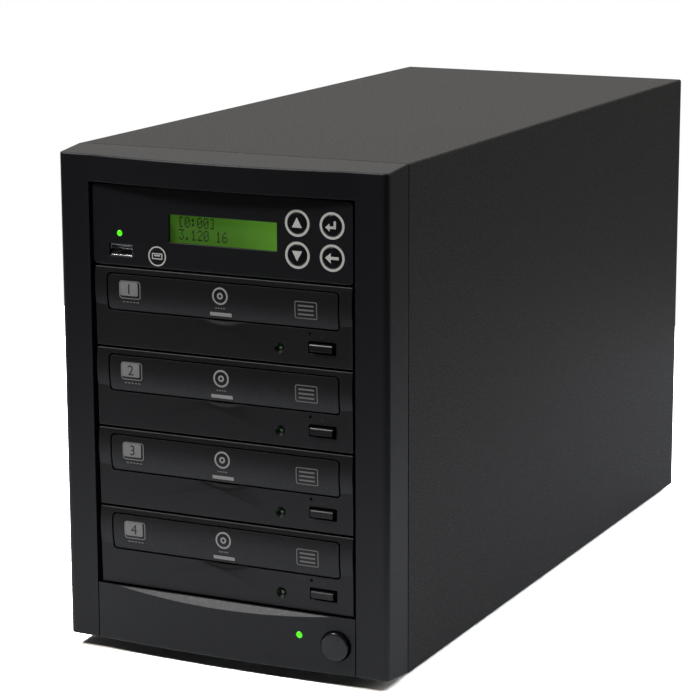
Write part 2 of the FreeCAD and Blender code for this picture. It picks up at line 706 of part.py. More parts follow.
def rear_screw(x, z, radius, y_seat):
    """A pan-head screw driven in from the rear against a seat."""
    head = bar_y(x, z, SCREW_HEAD_RADIUS, y_seat, y_seat + SCREW_HEAD_HEIGHT)
    head = head.makeFillet(SCREW_HEAD_HEIGHT / 3, edges_at(head, y_seat + SCREW_HEAD_HEIGHT))
    return joined([head, bar_y(x, z, radius, y_seat - SCREW_LENGTH, y_seat)])


def make_cover_screws():
    return [rear_screw(x, z, BIG_SCREW_RADIUS, Y_REAR) for x, z in cover_screw_places()]


def psu_screw_places():
    across = PSU_WIDTH / 2 - PSU_SCREW_INSET
    heights = (Z_DECK + PSU_SCREW_INSET, Z_DECK + PSU_HEIGHT - PSU_SCREW_INSET)
    return [(side * across, z) for side in (-1, 1) for z in heights]


def case_fan_z():
    return Z_DECK + PSU_HEIGHT + FAN_ROOM + FAN_SIZE / 2


def fan_screw_places(x, z):
    """Corner screws of a fan whose axis is at x, z."""
    reach = FAN_HOLE_PITCH / 2
    return [(x + side * reach, z + rise * reach) for side in (-1, 1) for rise in (-1, 1)]


def make_module_screws():
    """Screws that hold the power supply and both fans against the walls behind them."""
    seat = Y_REAR_PANEL + SHEET
    on_panel = psu_screw_places() + fan_screw_places(0, case_fan_z())
    screws = [rear_screw(x, z, BIG_SCREW_RADIUS, seat) for x, z in on_panel]
    on_psu = fan_screw_places(PSU_FAN_X, psu_fan_z())
    return screws + [rear_screw(x, z, BIG_SCREW_RADIUS, Y_REAR_PANEL) for x, z in on_psu]


def grille_slots(x, z, y0, y1):
    """Concentric slots for a fan, parted by crossed spokes."""
    step = (FAN_BORE - GRILLE_BORE) / GRILLE_RINGS
    rings = []
    for ring in range(GRILLE_RINGS):
        inner = GRILLE_BORE + ring * step + GRILLE_WEB / 2
        outer = GRILLE_BORE + (ring + 1) * step - GRILLE_WEB / 2
        rings.append(bar_y(x, z, outer, y0, y1).cut(bar_y(x, z, inner, y0, y1)))
    half = GRILLE_SPOKE / 2
    spokes = [block(x - half, x + half, y0, y1, z - FAN_BORE, z + FAN_BORE),
              block(x - FAN_BORE, x + FAN_BORE, y0, y1, z - half, z + half)]
    return Part.makeCompound(rings).cut(spokes[0].fuse(spokes[1]))


def vent_slots():
    """Two columns of plain slots beside the rear fan."""
    slots = []
    half = VENT_WIDTH / 2
    for row in range(VENT_ROWS):
        z = case_fan_z() + (row - (VENT_ROWS - 1) / 2) * VENT_PITCH
        slot = block(VENT_X - VENT_LENGTH / 2, VENT_X + VENT_LENGTH / 2, Y_REAR_PANEL - SHEET, Y_REAR,
                     z - half, z + half)
        slots += both_sides(slot)
    return Part.makeCompound(slots)


def make_rear_panel():
    y0 = Y_REAR_PANEL
    y1 = Y_REAR_PANEL + SHEET
    panel = block(-INNER_HALF, INNER_HALF, y0, y1, Z_DECK, Z_LID - COVER_BEND)
    low = Z_DECK + PSU_WINDOW_MARGIN
    high = Z_DECK + PSU_HEIGHT - PSU_WINDOW_MARGIN
    panel = panel.cut(block(-PSU_WINDOW_HALF, PSU_WINDOW_HALF, y0 - SHEET, y1 + SHEET, low, high))
    panel = panel.cut(grille_slots(0, case_fan_z(), y0 - SHEET, y1 + SHEET))
    panel = panel.cut(vent_slots())
    for x, z in cover_screw_places() + psu_screw_places() + fan_screw_places(0, case_fan_z()):
        panel = panel.cut(bar_y(x, z, BIG_SCREW_RADIUS + SCREW_FIT, y0 - SHEET, y1 + SHEET))
    return panel


# Disc drive, drawn with its face plate on y = 0 and the plate's underside on z = 0

def channel_tool():
    """The shallow hollow across the upper band of a face and its tray front."""
    top = FACE_HEIGHT - CHANNEL_LIP
    half = (top - CHANNEL_FOOT) / 2
    radius = (half ** 2 + CHANNEL_DEPTH ** 2) / (2 * CHANNEL_DEPTH)
    return bar_x(CHANNEL_DEPTH - radius, CHANNEL_FOOT + half, radius, -FACE_WIDTH, FACE_WIDTH)


def tray_mouth(grow, y0, y1, corner):
    """A rounded block on the tray front's outline, grown by a gap."""
    half = TRAY_FACE_WIDTH / 2 + grow
    rise = TRAY_FACE_HEIGHT / 2 + grow
    return rounded(block(-half, half, y0, y1, TRAY_FACE_Z - rise, TRAY_FACE_Z + rise), corner, Y_AXIS)


def thumb_scoop():
    """A sloping crescent under the tray front, cut by a wide flat cone."""
    edge = TRAY_FACE_Z - TRAY_FACE_HEIGHT / 2 - TRAY_GAP
    radius = (SCOOP_HALF ** 2 + SCOOP_DROP ** 2) / (2 * SCOOP_DROP)
    middle = edge - SCOOP_DROP + radius
    cone = Part.makeCone(radius, radius - SCOOP_DROP, SCOOP_DEPTH, V(0, 0, middle), Y_AXIS)
    return cone.common(block(-FACE_HALF, FACE_HALF, -1, FACE_THICK, 0, edge + TRAY_GAP))


def eject_block(grow, y0, y1, corner):
    half = EJECT_WIDTH / 2 + grow
    rise = EJECT_HEIGHT / 2 + grow
    return rounded(block(EJECT_X - half, EJECT_X + half, y0, y1, EJECT_Z - rise, EJECT_Z + rise), corner, Y_AXIS)


def make_drive_bezel():
    plate = block(-FACE_HALF, FACE_HALF, 0, FACE_THICK, 0, FACE_HEIGHT)
    plate = plate.makeFillet(FACE_ROUND, edges_at(plate, 0))
    plate = plate.cut(channel_tool())
    plate = plate.cut(tray_mouth(TRAY_GAP, -1, FACE_THICK + 1, TRAY_FACE_ROUND + TRAY_GAP))
    plate = plate.cut(thumb_scoop())
    dish = Part.makeCone(DISH_RADIUS, DRIVE_LAMP_RADIUS + SHAFT_FIT, DISH_DEPTH, V(DISH_X, 0, DISH_Z), Y_AXIS)
    plate = plate.cut(dish)
    plate = plate.cut(bar_y(DISH_X, DISH_Z, DRIVE_LAMP_RADIUS + SHAFT_FIT, 0, FACE_THICK + 1))
    plate = plate.cut(bar_y(PINHOLE_X, PINHOLE_Z, PINHOLE_RADIUS, -1, FACE_THICK + 1))
    return plate.cut(eject_block(EJECT_GAP, -1, FACE_THICK + 1, EJECT_CORNER))


def make_tray_front():
    face = tray_mouth(0, 0, TRAY_FACE_THICK, TRAY_FACE_ROUND)
    return face.cut(channel_tool())


def make_eject_button():
    """A bar-shaped cap that slopes back along its top, with a flange behind the face."""
    front = -EJECT_PROUD
    cap = eject_block(0, front, FACE_THICK + FIT, EJECT_CORNER)
    cap = cap.makeFillet(EJECT_ROUND, edges_at(cap, front))
    top = EJECT_Z + EJECT_HEIGHT / 2
    slope = [(front, top - EJECT_SLOPE_HEIGHT), (front + EJECT_SLOPE_DEPTH, top), (front, top)]
    cap = cap.cut(prism_x(slope, EJECT_X - EJECT_WIDTH, EJECT_X + EJECT_WIDTH))
    collar = eject_block(EJECT_GAP + EJECT_FLANGE, FACE_THICK + FIT, FACE_THICK + FIT + EJECT_FLANGE, EJECT_CORNER)
    return joined([cap, collar])


def make_drive_lamp():
    return lamp(DISH_X, DISH_Z, DRIVE_LAMP_RADIUS, DISH_DEPTH / 2, FACE_THICK + FIT)


def drive_floor():
    return (FACE_HEIGHT - DRIVE_HEIGHT) / 2


def make_drive_shell():
    """The folded steel case, open to the front and cut out for the rear connectors."""
    low = drive_floor()
    high = low + DRIVE_HEIGHT
    back = FACE_THICK + DRIVE_LENGTH
    case = block(-DRIVE_HALF, DRIVE_HALF, FACE_THICK, back, low, high)
    room = DRIVE_HALF - DRIVE_SHEET
    case = case.cut(block(-room, room, 0, back - DRIVE_SHEET, low + DRIVE_SHEET, high - DRIVE_SHEET))
    port = DRIVE_PORT_WIDTH / 2
    case = case.cut(block(-port, port, back - BEYOND, back + BEYOND, low + 2 * DRIVE_SHEET,
                          low + 2 * DRIVE_SHEET + DRIVE_PORT_HEIGHT))
    for y in (BAY_SCREW_Y, BAY_SCREW_Y + BAY_SCREW_PITCH):
        case = case.cut(bar_x(y, BAY_SCREW_Z, SMALL_SCREW_RADIUS + SCREW_FIT, -HALF_WIDTH, HALF_WIDTH))
    return case


def tray_underside():
    """Height of the tray's runners, just above the sill of the tray mouth."""
    return TRAY_FACE_Z - TRAY_FACE_HEIGHT / 2 + DRIVE_SHEET


def disc_y():
    """Depth of the disc's centre with the tray shut."""
    return TRAY_FACE_THICK + DISC_MARGIN + DISC_WELL_RADIUS


def make_tray():
    """The moulded tray: a slab on runners, with disc wells, a spindle hole and a pickup slot."""
    half = TRAY_WIDTH / 2
    low = tray_underside()
    slab_low = low + RUNNER_HEIGHT
    top = slab_low + TRAY_SLAB
    front = TRAY_FACE_THICK
    back = front + TRAY_LENGTH
    slab = block(-half, half, front, back, slab_low, top)
    runner = block(half - RUNNER_WIDTH, half, front, back, low, slab_low)
    wall = block(-half, half, front, front + RUNNER_WIDTH, low, slab_low)
    tray = joined([slab, wall] + both_sides(runner))
    well = top - DISC_WELL_DEPTH
    tray = tray.cut(bar_z(0, disc_y(), DISC_WELL_RADIUS, well, top + BEYOND))
    tray = tray.cut(bar_z(0, disc_y(), SMALL_WELL_RADIUS, well - SMALL_WELL_DEPTH, top + BEYOND))
    slot_end = disc_y() + PICKUP_SLOT_LENGTH
    slot = block(-PICKUP_SLOT_HALF, PICKUP_SLOT_HALF, disc_y(), slot_end, low, top + BEYOND)
    hole = bar_z(0, disc_y(), SPINDLE_HOLE_RADIUS, low, top + BEYOND)
    return tray.cut(rounded(slot, PICKUP_SLOT_HALF / 2, Z_AXIS).fuse(hole))


def loader_frame():
    """Floor with two guide rails that carry the tray's runners, and posts for the pickup rods."""
    base = drive_floor() + DRIVE_SHEET
    front = FACE_THICK + LOADER_FRONT
    back = FACE_THICK + DRIVE_LENGTH - LOADER_FRONT
    outer = TRAY_WIDTH / 2 + FIT + GUIDE_WIDTH
    inner = TRAY_WIDTH / 2 - RUNNER_WIDTH - GUIDE_WIDTH
    rail_top = tray_underside() - FIT
    floor = block(-outer, outer, front, back, base, base + LOADER_FLOOR)
    rail = block(inner, outer, front, back, base, rail_top)
    guide = block(outer - GUIDE_WIDTH, outer, front, back, rail_top, rail_top + GUIDE_RISE)
    posts = []
    for y in (rod_front(), rod_front() + ROD_LENGTH - ROD_POST):
        posts += both_sides(block(ROD_SPREAD - ROD_POST, ROD_SPREAD + ROD_POST, y, y + ROD_POST,
                                  base, rod_level() + ROD_POST))
    frame = joined([floor] + both_sides(rail) + both_sides(guide) + posts)
    for x in (-ROD_SPREAD, ROD_SPREAD):
        frame = frame.cut(bar_y(x, rod_level(), ROD_RADIUS + SHAFT_FIT, rod_front() - 1,
                                rod_front() + ROD_LENGTH + 1))
    return frame


def rod_front():
    return disc_y() + MOTOR_RADIUS + ROD_POST


def rod_level():
    return drive_floor() + DRIVE_SHEET + LOADER_FLOOR + SLED_HEIGHT / 2 + ROD_RADIUS


def make_loader():
    """Frame, spindle motor with its lowered turntable, pickup sled and rods."""
    base = drive_floor() + DRIVE_SHEET + LOADER_FLOOR
    table_top = tray_underside() + RUNNER_HEIGHT - HUB_HEIGHT - FIT
    y = disc_y()
    spindle = joined([bar_z(0, y, MOTOR_RADIUS, base, base + MOTOR_HEIGHT),
                      bar_z(0, y, SPINDLE_RADIUS, base, table_top),
                      bar_z(0, y, TURNTABLE_RADIUS, table_top - TURNTABLE_HEIGHT, table_top),
                      Part.makeCone(HUB_RADIUS, HUB_RADIUS - HUB_HEIGHT, HUB_HEIGHT, V(0, y, table_top))])
    rods = [bar_y(x, rod_level(), ROD_RADIUS, rod_front(), rod_front() + ROD_LENGTH)
            for x in (-ROD_SPREAD, ROD_SPREAD)]
    sled_y = rod_front() + (ROD_LENGTH - SLED_LENGTH) / 2
    low = rod_level() - SLED_HEIGHT / 2
    sled = block(-SLED_WIDTH / 2, SLED_WIDTH / 2, sled_y, sled_y + SLED_LENGTH, low, low + SLED_HEIGHT)
    sled = joined([sled, bar_z(0, sled_y + SLED_LENGTH / 2, LENS_RADIUS, low, low + SLED_HEIGHT + LENS_RADIUS / 2)])
    for x in (-ROD_SPREAD, ROD_SPREAD):
        sled = sled.cut(bar_y(x, rod_level(), ROD_RADIUS + SHAFT_FIT, sled_y - 1, sled_y + SLED_LENGTH + 1))
    return [loader_frame(), spindle, sled] + rods


# Control panel, drawn like a drive on its own face

def panel_back():
    """Depth of the front board behind the panel's face."""
    return PANEL_THICK + DISPLAY_DEPTH


def key_places():
    """Centres of the four keys by name."""
    low = (FACE_HEIGHT - KEY_PITCH_Z) / 2
    high = low + KEY_PITCH_Z
    return {"up_button": (KEY_LEFT_X, high), "down_button": (KEY_LEFT_X, low),
            "enter_button": (KEY_RIGHT_X, high), "back_button": (KEY_RIGHT_X, low)}


def post_places():
    across = FRONT_BOARD_WIDTH / 2 - POST_INSET
    rise = FRONT_BOARD_HEIGHT / 2 - POST_INSET
    middle = FACE_HEIGHT / 2
    return [(side * across, middle + up * rise) for side in (-1, 1) for up in (-1, 1)]


def window_block(grow, y0, y1):
    half = WINDOW_WIDTH / 2 + grow
    rise = WINDOW_HEIGHT / 2 + grow
    return block(WINDOW_X - half, WINDOW_X + half, y0, y1, WINDOW_Z - rise, WINDOW_Z + rise)


def usb_block(grow, y0, y1):
    half = USB_WIDTH / 2 + grow
    rise = USB_HEIGHT / 2 + grow
    return block(USB_X - half, USB_X + half, y0, y1, USB_Z - rise, USB_Z + rise)


def make_control_panel():
    plate = rounded(block(-FACE_HALF, FACE_HALF, 0, PANEL_THICK, 0, FACE_HEIGHT), PANEL_CORNER, Y_AXIS)
    plate = plate.makeFillet(FACE_ROUND, edges_at(plate, 0))
    posts = [bar_y(x, z, POST_RADIUS, PANEL_THICK / 2, panel_back()) for x, z in post_places()]
    middle = FACE_HEIGHT / 2
    arm = block(DRIVE_HALF - PANEL_ARM_WIDTH, DRIVE_HALF, PANEL_THICK / 2, SLED_FRONT,
                middle - PANEL_ARM_HEIGHT, middle)
    plate = joined([plate] + posts + both_sides(arm))
    plate = plate.cut(window_block(0, -1, PANEL_THICK + 1))
    plate = plate.cut(window_block(WINDOW_REBATE, PANEL_THICK - WINDOW_THICK, PANEL_THICK + 1))
    plate = plate.cut(usb_block(FIT, -1, PANEL_THICK + 1))
    plate = plate.cut(bar_y(PANEL_LAMP_X, PANEL_LAMP_Z, PANEL_LAMP_RADIUS + SHAFT_FIT, -1, PANEL_THICK + 1))
    for x, z in key_places().values():
        plate = plate.cut(bar_y(x, z, KEY_RADIUS + KEY_GAP, -1, PANEL_THICK + 1))
    return plate


def make_key(place):
    """A round key cap with a stop flange and a stem into its switch."""
    x, z = place
    flange = PANEL_THICK + FIT
    cap = domed_pin(x, z, KEY_RADIUS, -KEY_PROUD, flange, KEY_DOME, KEY_ROUND)
    collar = bar_y(x, z, KEY_RADIUS + KEY_FLANGE, flange, flange + KEY_FLANGE)
    stem = bar_y(x, z, KEY_STEM_RADIUS, flange, panel_back() - KEY_TRAVEL - FIT)
    return joined([cap, collar, stem])


def make_window():
    return window_block(WINDOW_REBATE - FIT / 2, PANEL_THICK - WINDOW_THICK, PANEL_THICK)


def make_display():
    """The framed character display behind the window."""
    return rounded(window_block(DISPLAY_RIM, PANEL_THICK, panel_back()), WINDOW_REBATE, Y_AXIS)


def make_front_board():
    """Circuit board on the panel's posts with a push switch behind each key."""
    half = FRONT_BOARD_WIDTH / 2
    rise = FRONT_BOARD_HEIGHT / 2
    middle = FACE_HEIGHT / 2
    y = panel_back()
    board = block(-half, half, y, y + BOARD_THICK, middle - rise, middle + rise)
    board = board.cut(usb_block(FIT, y - 1, y + BOARD_THICK + 1))
    pieces = [board]
    reach = KEY_SWITCH / 2
    switch_y = PANEL_THICK + FIT + KEY_FLANGE + KEY_TRAVEL + FIT
    for x, z in key_places().values():
        switch = block(x - reach, x + reach, switch_y, y, z - reach, z + reach)
        pieces.append(switch.cut(bar_y(x, z, KEY_STEM_RADIUS + FIT, switch_y - 1, y)))
    return joined(pieces)


def make_usb_socket():
    """A steel USB-A receptacle with its contact tongue."""
    back = USB_RECESS + USB_DEPTH
    shell = usb_block(0, USB_RECESS, back).cut(usb_block(-USB_SHELL, USB_RECESS - 1, back - USB_TONGUE_THICK))
    half = USB_TONGUE_WIDTH / 2
    top = USB_Z + USB_HEIGHT / 2 - USB_SHELL - USB_TONGUE_THICK / 2
    tongue = block(USB_X - half, USB_X + half, USB_RECESS + USB_TONGUE_BACK, back, top - USB_TONGUE_THICK, top)
    return joined([shell, tongue])


def make_panel_lamp():
    return lamp(PANEL_LAMP_X, PANEL_LAMP_Z, PANEL_LAMP_RADIUS, -LAMP_PROUD, panel_back())


def standoff_places():
    across = MAIN_BOARD_WIDTH / 2 - 2 * STANDOFF_RADIUS
    front = SLED_FRONT + (BAY_SLED_LENGTH - MAIN_BOARD_LENGTH) / 2 + 2 * STANDOFF_RADIUS
    back = front + MAIN_BOARD_LENGTH - 4 * STANDOFF_RADIUS
    return [(side * across, y) for side in (-1, 1) for y in (front, back)]


def make_controller_sled():
    """Folded steel carrier that holds the controller board in the top bay."""
    floor_top = BAY_SLED_LIFT + SHEET
    back = SLED_FRONT + BAY_SLED_LENGTH
    floor = block(-DRIVE_HALF, DRIVE_HALF, SLED_FRONT, back, BAY_SLED_LIFT, floor_top)
    wall = block(DRIVE_HALF - SHEET, DRIVE_HALF, SLED_FRONT, back, BAY_SLED_LIFT, BAY_SLED_LIFT + BAY_SLED_WALL)
    posts = [bar_z(x, y, STANDOFF_RADIUS, BAY_SLED_LIFT, floor_top + STANDOFF_HEIGHT) for x, y in standoff_places()]
    sled = joined([floor] + both_sides(wall) + posts)
    for y in (BAY_SCREW_Y, BAY_SCREW_Y + BAY_SCREW_PITCH):
        sled = sled.cut(bar_x(y, BAY_SCREW_Z, SMALL_SCREW_RADIUS + SCREW_FIT, -HALF_WIDTH, HALF_WIDTH))
    return sled


def make_controller_board():
    """Main board with its processor and a row of drive ports along the rear edge."""
    low = BAY_SLED_LIFT + SHEET + STANDOFF_HEIGHT
    top = low + BOARD_THICK
    front = SLED_FRONT + (BAY_SLED_LENGTH - MAIN_BOARD_LENGTH) / 2
    back = front + MAIN_BOARD_LENGTH
    half = MAIN_BOARD_WIDTH / 2
    pieces = [block(-half, half, front, back, low, top)]
    middle = (front + back) / 2
    reach = CHIP_SIZE / 2
    pieces.append(block(-reach, reach, middle - reach, middle + reach, top, top + CHIP_HEIGHT))
    for port in range(BAY_COUNT):
        x = (port - (BAY_COUNT - 1) / 2) * PORT_PITCH
        pieces.append(block(x - PORT_SIZE / 2, x + PORT_SIZE / 2, back - PORT_SIZE, back, top, top + PORT_HEIGHT))
    return joined(pieces)


# Power supply and fans

def fan_corner_holes(y0, y1):
    reach = FAN_HOLE_PITCH / 2
    return [bar_y(i * reach, k * reach, BIG_SCREW_RADIUS + SCREW_FIT, y0, y1) for i in (-1, 1) for k in (-1, 1)]


def make_fan_frame():
    """Fan frame whose outlet side lies on y = 0: two flanges, a tube, struts and a shaft."""
    half = FAN_SIZE / 2
    flange = rounded(block(-half, half, -FAN_FLANGE, 0, -half, half), FAN_CORNER, Y_AXIS)
    far = moved(flange, 0, FAN_FLANGE - FAN_DEPTH, 0)
    tube = bar_y(0, 0, FAN_BORE + FAN_SKIN, -FAN_DEPTH, 0)
    frame = joined([flange, far, tube]).cut(bar_y(0, 0, FAN_BORE, -FAN_DEPTH - 1, 1))
    for hole in fan_corner_holes(-FAN_DEPTH - 1, 1):
        frame = frame.cut(hole)
    reach = FAN_BORE + FAN_SKIN / 2
    arm = FAN_STRUT / 2
    struts = [block(-reach, reach, -FAN_BASE_THICK, 0, -arm, arm), block(-arm, arm, -FAN_BASE_THICK, 0, -reach, reach)]
    base = bar_y(0, 0, FAN_HUB_RADIUS, -FAN_BASE_THICK, 0)
    shaft = bar_y(0, 0, FAN_SHAFT_RADIUS, -FAN_BASE_THICK - FAN_SHAFT_LENGTH, 0)
    return joined([frame, base, shaft] + struts)


def blade_section(x, chord, y0, y1):
    """A cambered blade section in the plane at radius x, from inlet to outlet."""
    half = chord / 2
    first = V(x, y0, -half)
    last = V(x, y1, half)
    run = (last - first).normalize()
    side = V(0, -run.z, run.y)
    middle = (first + last) * 0.5 + side * FAN_BLADE_CAMBER
    thick = side * FAN_BLADE_THICK
    upper = Part.Arc(first + thick, middle + thick, last + thick).toShape()
    lower = Part.Arc(first, middle, last).toShape()
    ends = [Part.makeLine(first, first + thick), Part.makeLine(last, last + thick)]
    return Part.Wire(Part.__sortEdges__([lower, ends[1], upper, ends[0]]))


def make_fan_rotor():
    """Hub cup bored for the shaft, with a ring of cambered, twisted blades."""
    back = -FAN_BASE_THICK - FAN_HUB_GAP
    front = -FAN_DEPTH + FAN_HUB_GAP
    hub = bar_y(0, 0, FAN_HUB_RADIUS, front, back)
    hub = hub.makeFillet(FAN_HUB_GAP, edges_at(hub, front))
    hub = hub.cut(bar_y(0, 0, FAN_SHAFT_RADIUS + SHAFT_FIT, -FAN_BASE_THICK - FAN_SHAFT_LENGTH - FIT, back + 1))
    margin = FAN_BLADE_THICK + FAN_BLADE_CAMBER
    root = blade_section(FAN_HUB_RADIUS - FAN_BLADE_THICK, FAN_ROOT_CHORD, front + margin, back - margin)
    tip = blade_section(FAN_BORE, FAN_TIP_CHORD, front + 2 * margin, back - margin)
    blade = Part.makeLoft([root, tip], True, True)
    blade = blade.common(bar_y(0, 0, FAN_BORE - FAN_TIP_GAP, front, back))
    pieces = [hub]
    for turn in range(FAN_BLADES):
        copy = blade.copy()
        copy.rotate(V(0, 0, 0), Y_AXIS, turn * 360 / FAN_BLADES)
        pieces.append(copy)
    return joined(pieces).cut(bar_y(0, 0, FAN_SHAFT_RADIUS + SHAFT_FIT,
                                    -FAN_BASE_THICK - FAN_SHAFT_LENGTH - FIT, back + 1))


def psu_fan_z():
    return Z_DECK + PSU_HEIGHT / 2


def make_psu_case():
    """Folded steel box: a base with both end walls, and a lid with the sides that stands on it."""
    half = PSU_WIDTH / 2
    y1 = Y_REAR_PANEL
    y0 = y1 - PSU_LENGTH
    top = Z_DECK + PSU_HEIGHT
    floor = block(-half, half, y0, y1, Z_DECK, Z_DECK + SHEET)
    ends = [block(-half, half, y, y + SHEET, Z_DECK, top) for y in (y0, y1 - SHEET)]
    lid_front = y0 + SHEET + FIT
    lid_back = y1 - SHEET - FIT
    roof = block(-half, half, lid_front, lid_back, top - SHEET, top)
    side = block(half - SHEET, half, lid_front, lid_back, Z_DECK + SHEET, top)
    return [psu_rear_cuts(joined([floor] + ends)), joined([roof] + both_sides(side))]


def psu_rear_cuts(base):
    """The stamped fan grille, the cut-outs for inlet and switch, and the screw holes in the rear wall."""
    y0 = Y_REAR_PANEL - 2 * SHEET
    y1 = Y_REAR_PANEL + SHEET
    base = base.cut(grille_slots(PSU_FAN_X, psu_fan_z(), y0, y1))
    base = base.cut(inlet_block(INLET_WIDTH / 2 + SCREW_FIT, INLET_HEIGHT / 2 + SCREW_FIT, y0, y1))
    base = base.cut(rocker_block(ROCKER_FRAME_WALL + SCREW_FIT, y0, y1))
    for x, z in psu_screw_places() + fan_screw_places(PSU_FAN_X, psu_fan_z()):
        base = base.cut(bar_y(x, z, BIG_SCREW_RADIUS + SCREW_FIT, y0, y1))
    return base


def inlet_block(half, rise, y0, y1):
    level = Z_DECK + INLET_Z
    return block(INLET_X - half, INLET_X + half, y0, y1, level - rise, level + rise)


def make_inlet():
    """A mains inlet with a chamfered mouth and three pins."""
    y1 = Y_REAR_PANEL
    body = inlet_block(INLET_WIDTH / 2, INLET_HEIGHT / 2, y1 - INLET_DEPTH, y1)
    flange = inlet_block(INLET_WIDTH / 2 + INLET_RIM, INLET_HEIGHT / 2 + INLET_RIM, y1, y1 + INLET_FLANGE)
    mouth = inlet_block(INLET_MOUTH_WIDTH / 2, INLET_MOUTH_HEIGHT / 2, y1 + INLET_FLANGE - INLET_MOUTH_DEPTH,
                        y1 + INLET_FLANGE + 1)
    upper = [e for e in mouth.Edges if e.BoundBox.YLength > 1 and e.BoundBox.ZMin > Z_DECK + INLET_Z]
    mouth = mouth.makeChamfer(INLET_CORNER, upper)
    inlet = joined([body, flange]).cut(mouth)
    floor = y1 + INLET_FLANGE - INLET_MOUTH_DEPTH
    pins = []
    for x, drop in ((-PIN_SPREAD, PIN_DROP), (0, -PIN_DROP), (PIN_SPREAD, PIN_DROP)):
        z = Z_DECK + INLET_Z - drop
        pins.append(block(INLET_X + x - PIN_WIDTH / 2, INLET_X + x + PIN_WIDTH / 2, floor - 1, floor + PIN_LENGTH,
                          z - PIN_HEIGHT / 2, z + PIN_HEIGHT / 2))
    return joined([inlet] + pins)


def rocker_block(grow, y0, y1):
    level = Z_DECK + ROCKER_Z
    half = ROCKER_WIDTH / 2 + FIT + grow
    rise = ROCKER_HEIGHT / 2 + ROCKER_DISH + grow
    return block(ROCKER_X - half, ROCKER_X + half, y0, y1, level - rise, level + rise)


def rocker_pivot_y():
    return Y_REAR_PANEL - ROCKER_DEPTH / 2


def make_rocker_frame():
    """Housing of the rocker switch with a flange on the wall and pivot holes."""
    y1 = Y_REAR_PANEL
    body = rocker_block(ROCKER_FRAME_WALL, y1 - ROCKER_FRAME_DEPTH, y1)
    flange = rocker_block(ROCKER_FRAME_WALL + ROCKER_FRAME_RIM, y1, y1 + ROCKER_FRAME_FLANGE)
    frame = joined([body, flange])
    frame = frame.cut(rocker_block(0, y1 - ROCKER_FRAME_DEPTH + ROCKER_FRAME_WALL, y1 + BEYOND))
    reach = ROCKER_WIDTH / 2 + FIT + ROCKER_FRAME_WALL / 2 + FIT
    return frame.cut(bar_x(rocker_pivot_y(), Z_DECK + ROCKER_Z, ROCKER_PIVOT + SHAFT_FIT,
                           ROCKER_X - reach, ROCKER_X + reach))


def make_rocker():
    """The rocker in its pressed-on position: two dished faces on a pivot."""
    y = rocker_pivot_y()
    z = Z_DECK + ROCKER_Z
    rise = ROCKER_HEIGHT / 2
    tip = y + ROCKER_DEPTH
    cheek = [(y - ROCKER_DEPTH / 2, z - rise / 2), (tip, z - rise), (tip - ROCKER_DISH, z), (tip, z + rise),
             (y - ROCKER_DEPTH / 2, z + rise / 2)]
    half = ROCKER_WIDTH / 2
    key = prism_x(cheek, ROCKER_X - half, ROCKER_X + half)
    reach = half + FIT + ROCKER_FRAME_WALL / 2
    key = joined([key, bar_x(y, z, ROCKER_PIVOT, ROCKER_X - reach, ROCKER_X + reach)])
    key.rotate(V(ROCKER_X, y, z), X_AXIS, ROCKER_REST)
    return key


# Assembly

def drive_nodes(number):
    """The pieces of one drive, counted from the top of the tower."""
    bay = BAY_COUNT - 1 - number
    name = "drive_%d_" % number
    pieces = {"shell": make_drive_shell(), "bezel": make_drive_bezel(), "tray": make_tray(),
              "tray_front": make_tray_front(), "eject_button": make_eject_button(),
              "loader": Part.makeCompound(make_loader())}
    return {name + piece: in_bay(shape, bay) for piece, shape in pieces.items()}


def panel_nodes():
    """The pieces of the control panel in the top bay."""
    pieces = {"control_panel": make_control_panel(), "display_window": make_window(), "display_module": make_display(),
              "front_board": make_front_board(), "usb_socket": make_usb_socket(), "panel_lamp": make_panel_lamp(),
              "controller_sled": make_controller_sled(), "controller_board": make_controller_board()}
    for name, place in key_places().items():
        pieces[name] = make_key(place)
    return {name: in_bay(shape, BAY_COUNT - 1) for name, shape in pieces.items()}


def fan_nodes():
    fan = {"fan_frame": make_fan_frame(), "fan_rotor": make_fan_rotor()}
    nodes = {}
    for piece, shape in fan.items():
        nodes["case_" + piece] = moved(shape, 0, Y_REAR_PANEL, case_fan_z())
        nodes["psu_" + piece] = moved(shape, PSU_FAN_X, Y_REAR_PANEL - SHEET, psu_fan_z())
    return nodes


def case_nodes():
    form = softened_bezel()
    cage_right, cage_left = both_sides(make_cage_side())
    lamps = [in_bay(make_drive_lamp(), bay) for bay in range(BAY_COUNT - 1)]
    return {"cover": make_cover(), "base_pan": make_base_pan(), "feet": Part.makeCompound(make_feet()),
            "front_bezel": make_front_bezel(form), "lower_panel": make_lower_panel(form),
            "power_button": make_power_button(), "power_switch": make_power_switch(),
            "power_lamp": make_power_lamp(), "front_frame": make_front_frame(),
            "cage_right": cage_right, "cage_left": cage_left, "rear_panel": make_rear_panel(),
            "drive_lamps": Part.makeCompound(lamps), "psu_case": Part.makeCompound(make_psu_case()),
            "psu_inlet": make_inlet(),
            "psu_switch_frame": make_rocker_frame(), "psu_rocker": make_rocker(),
            "cover_screws": Part.makeCompound(make_cover_screws()),
            "module_screws": Part.makeCompound(make_module_screws()),
            "drive_screws": Part.makeCompound(make_drive_screws())}


def main():
    os.makedirs("parts", exist_ok=True)
    nodes = case_nodes()
    nodes.update(panel_nodes())
    nodes.update(fan_nodes())
    for number in range(1, BAY_COUNT):
        nodes.update(drive_nodes(number))
    for name, shape in nodes.items():
        shape.exportStep("parts/%s.step" % name)


main()
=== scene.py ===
import math

import bmesh
import bpy
from mathutils import Matrix, Vector


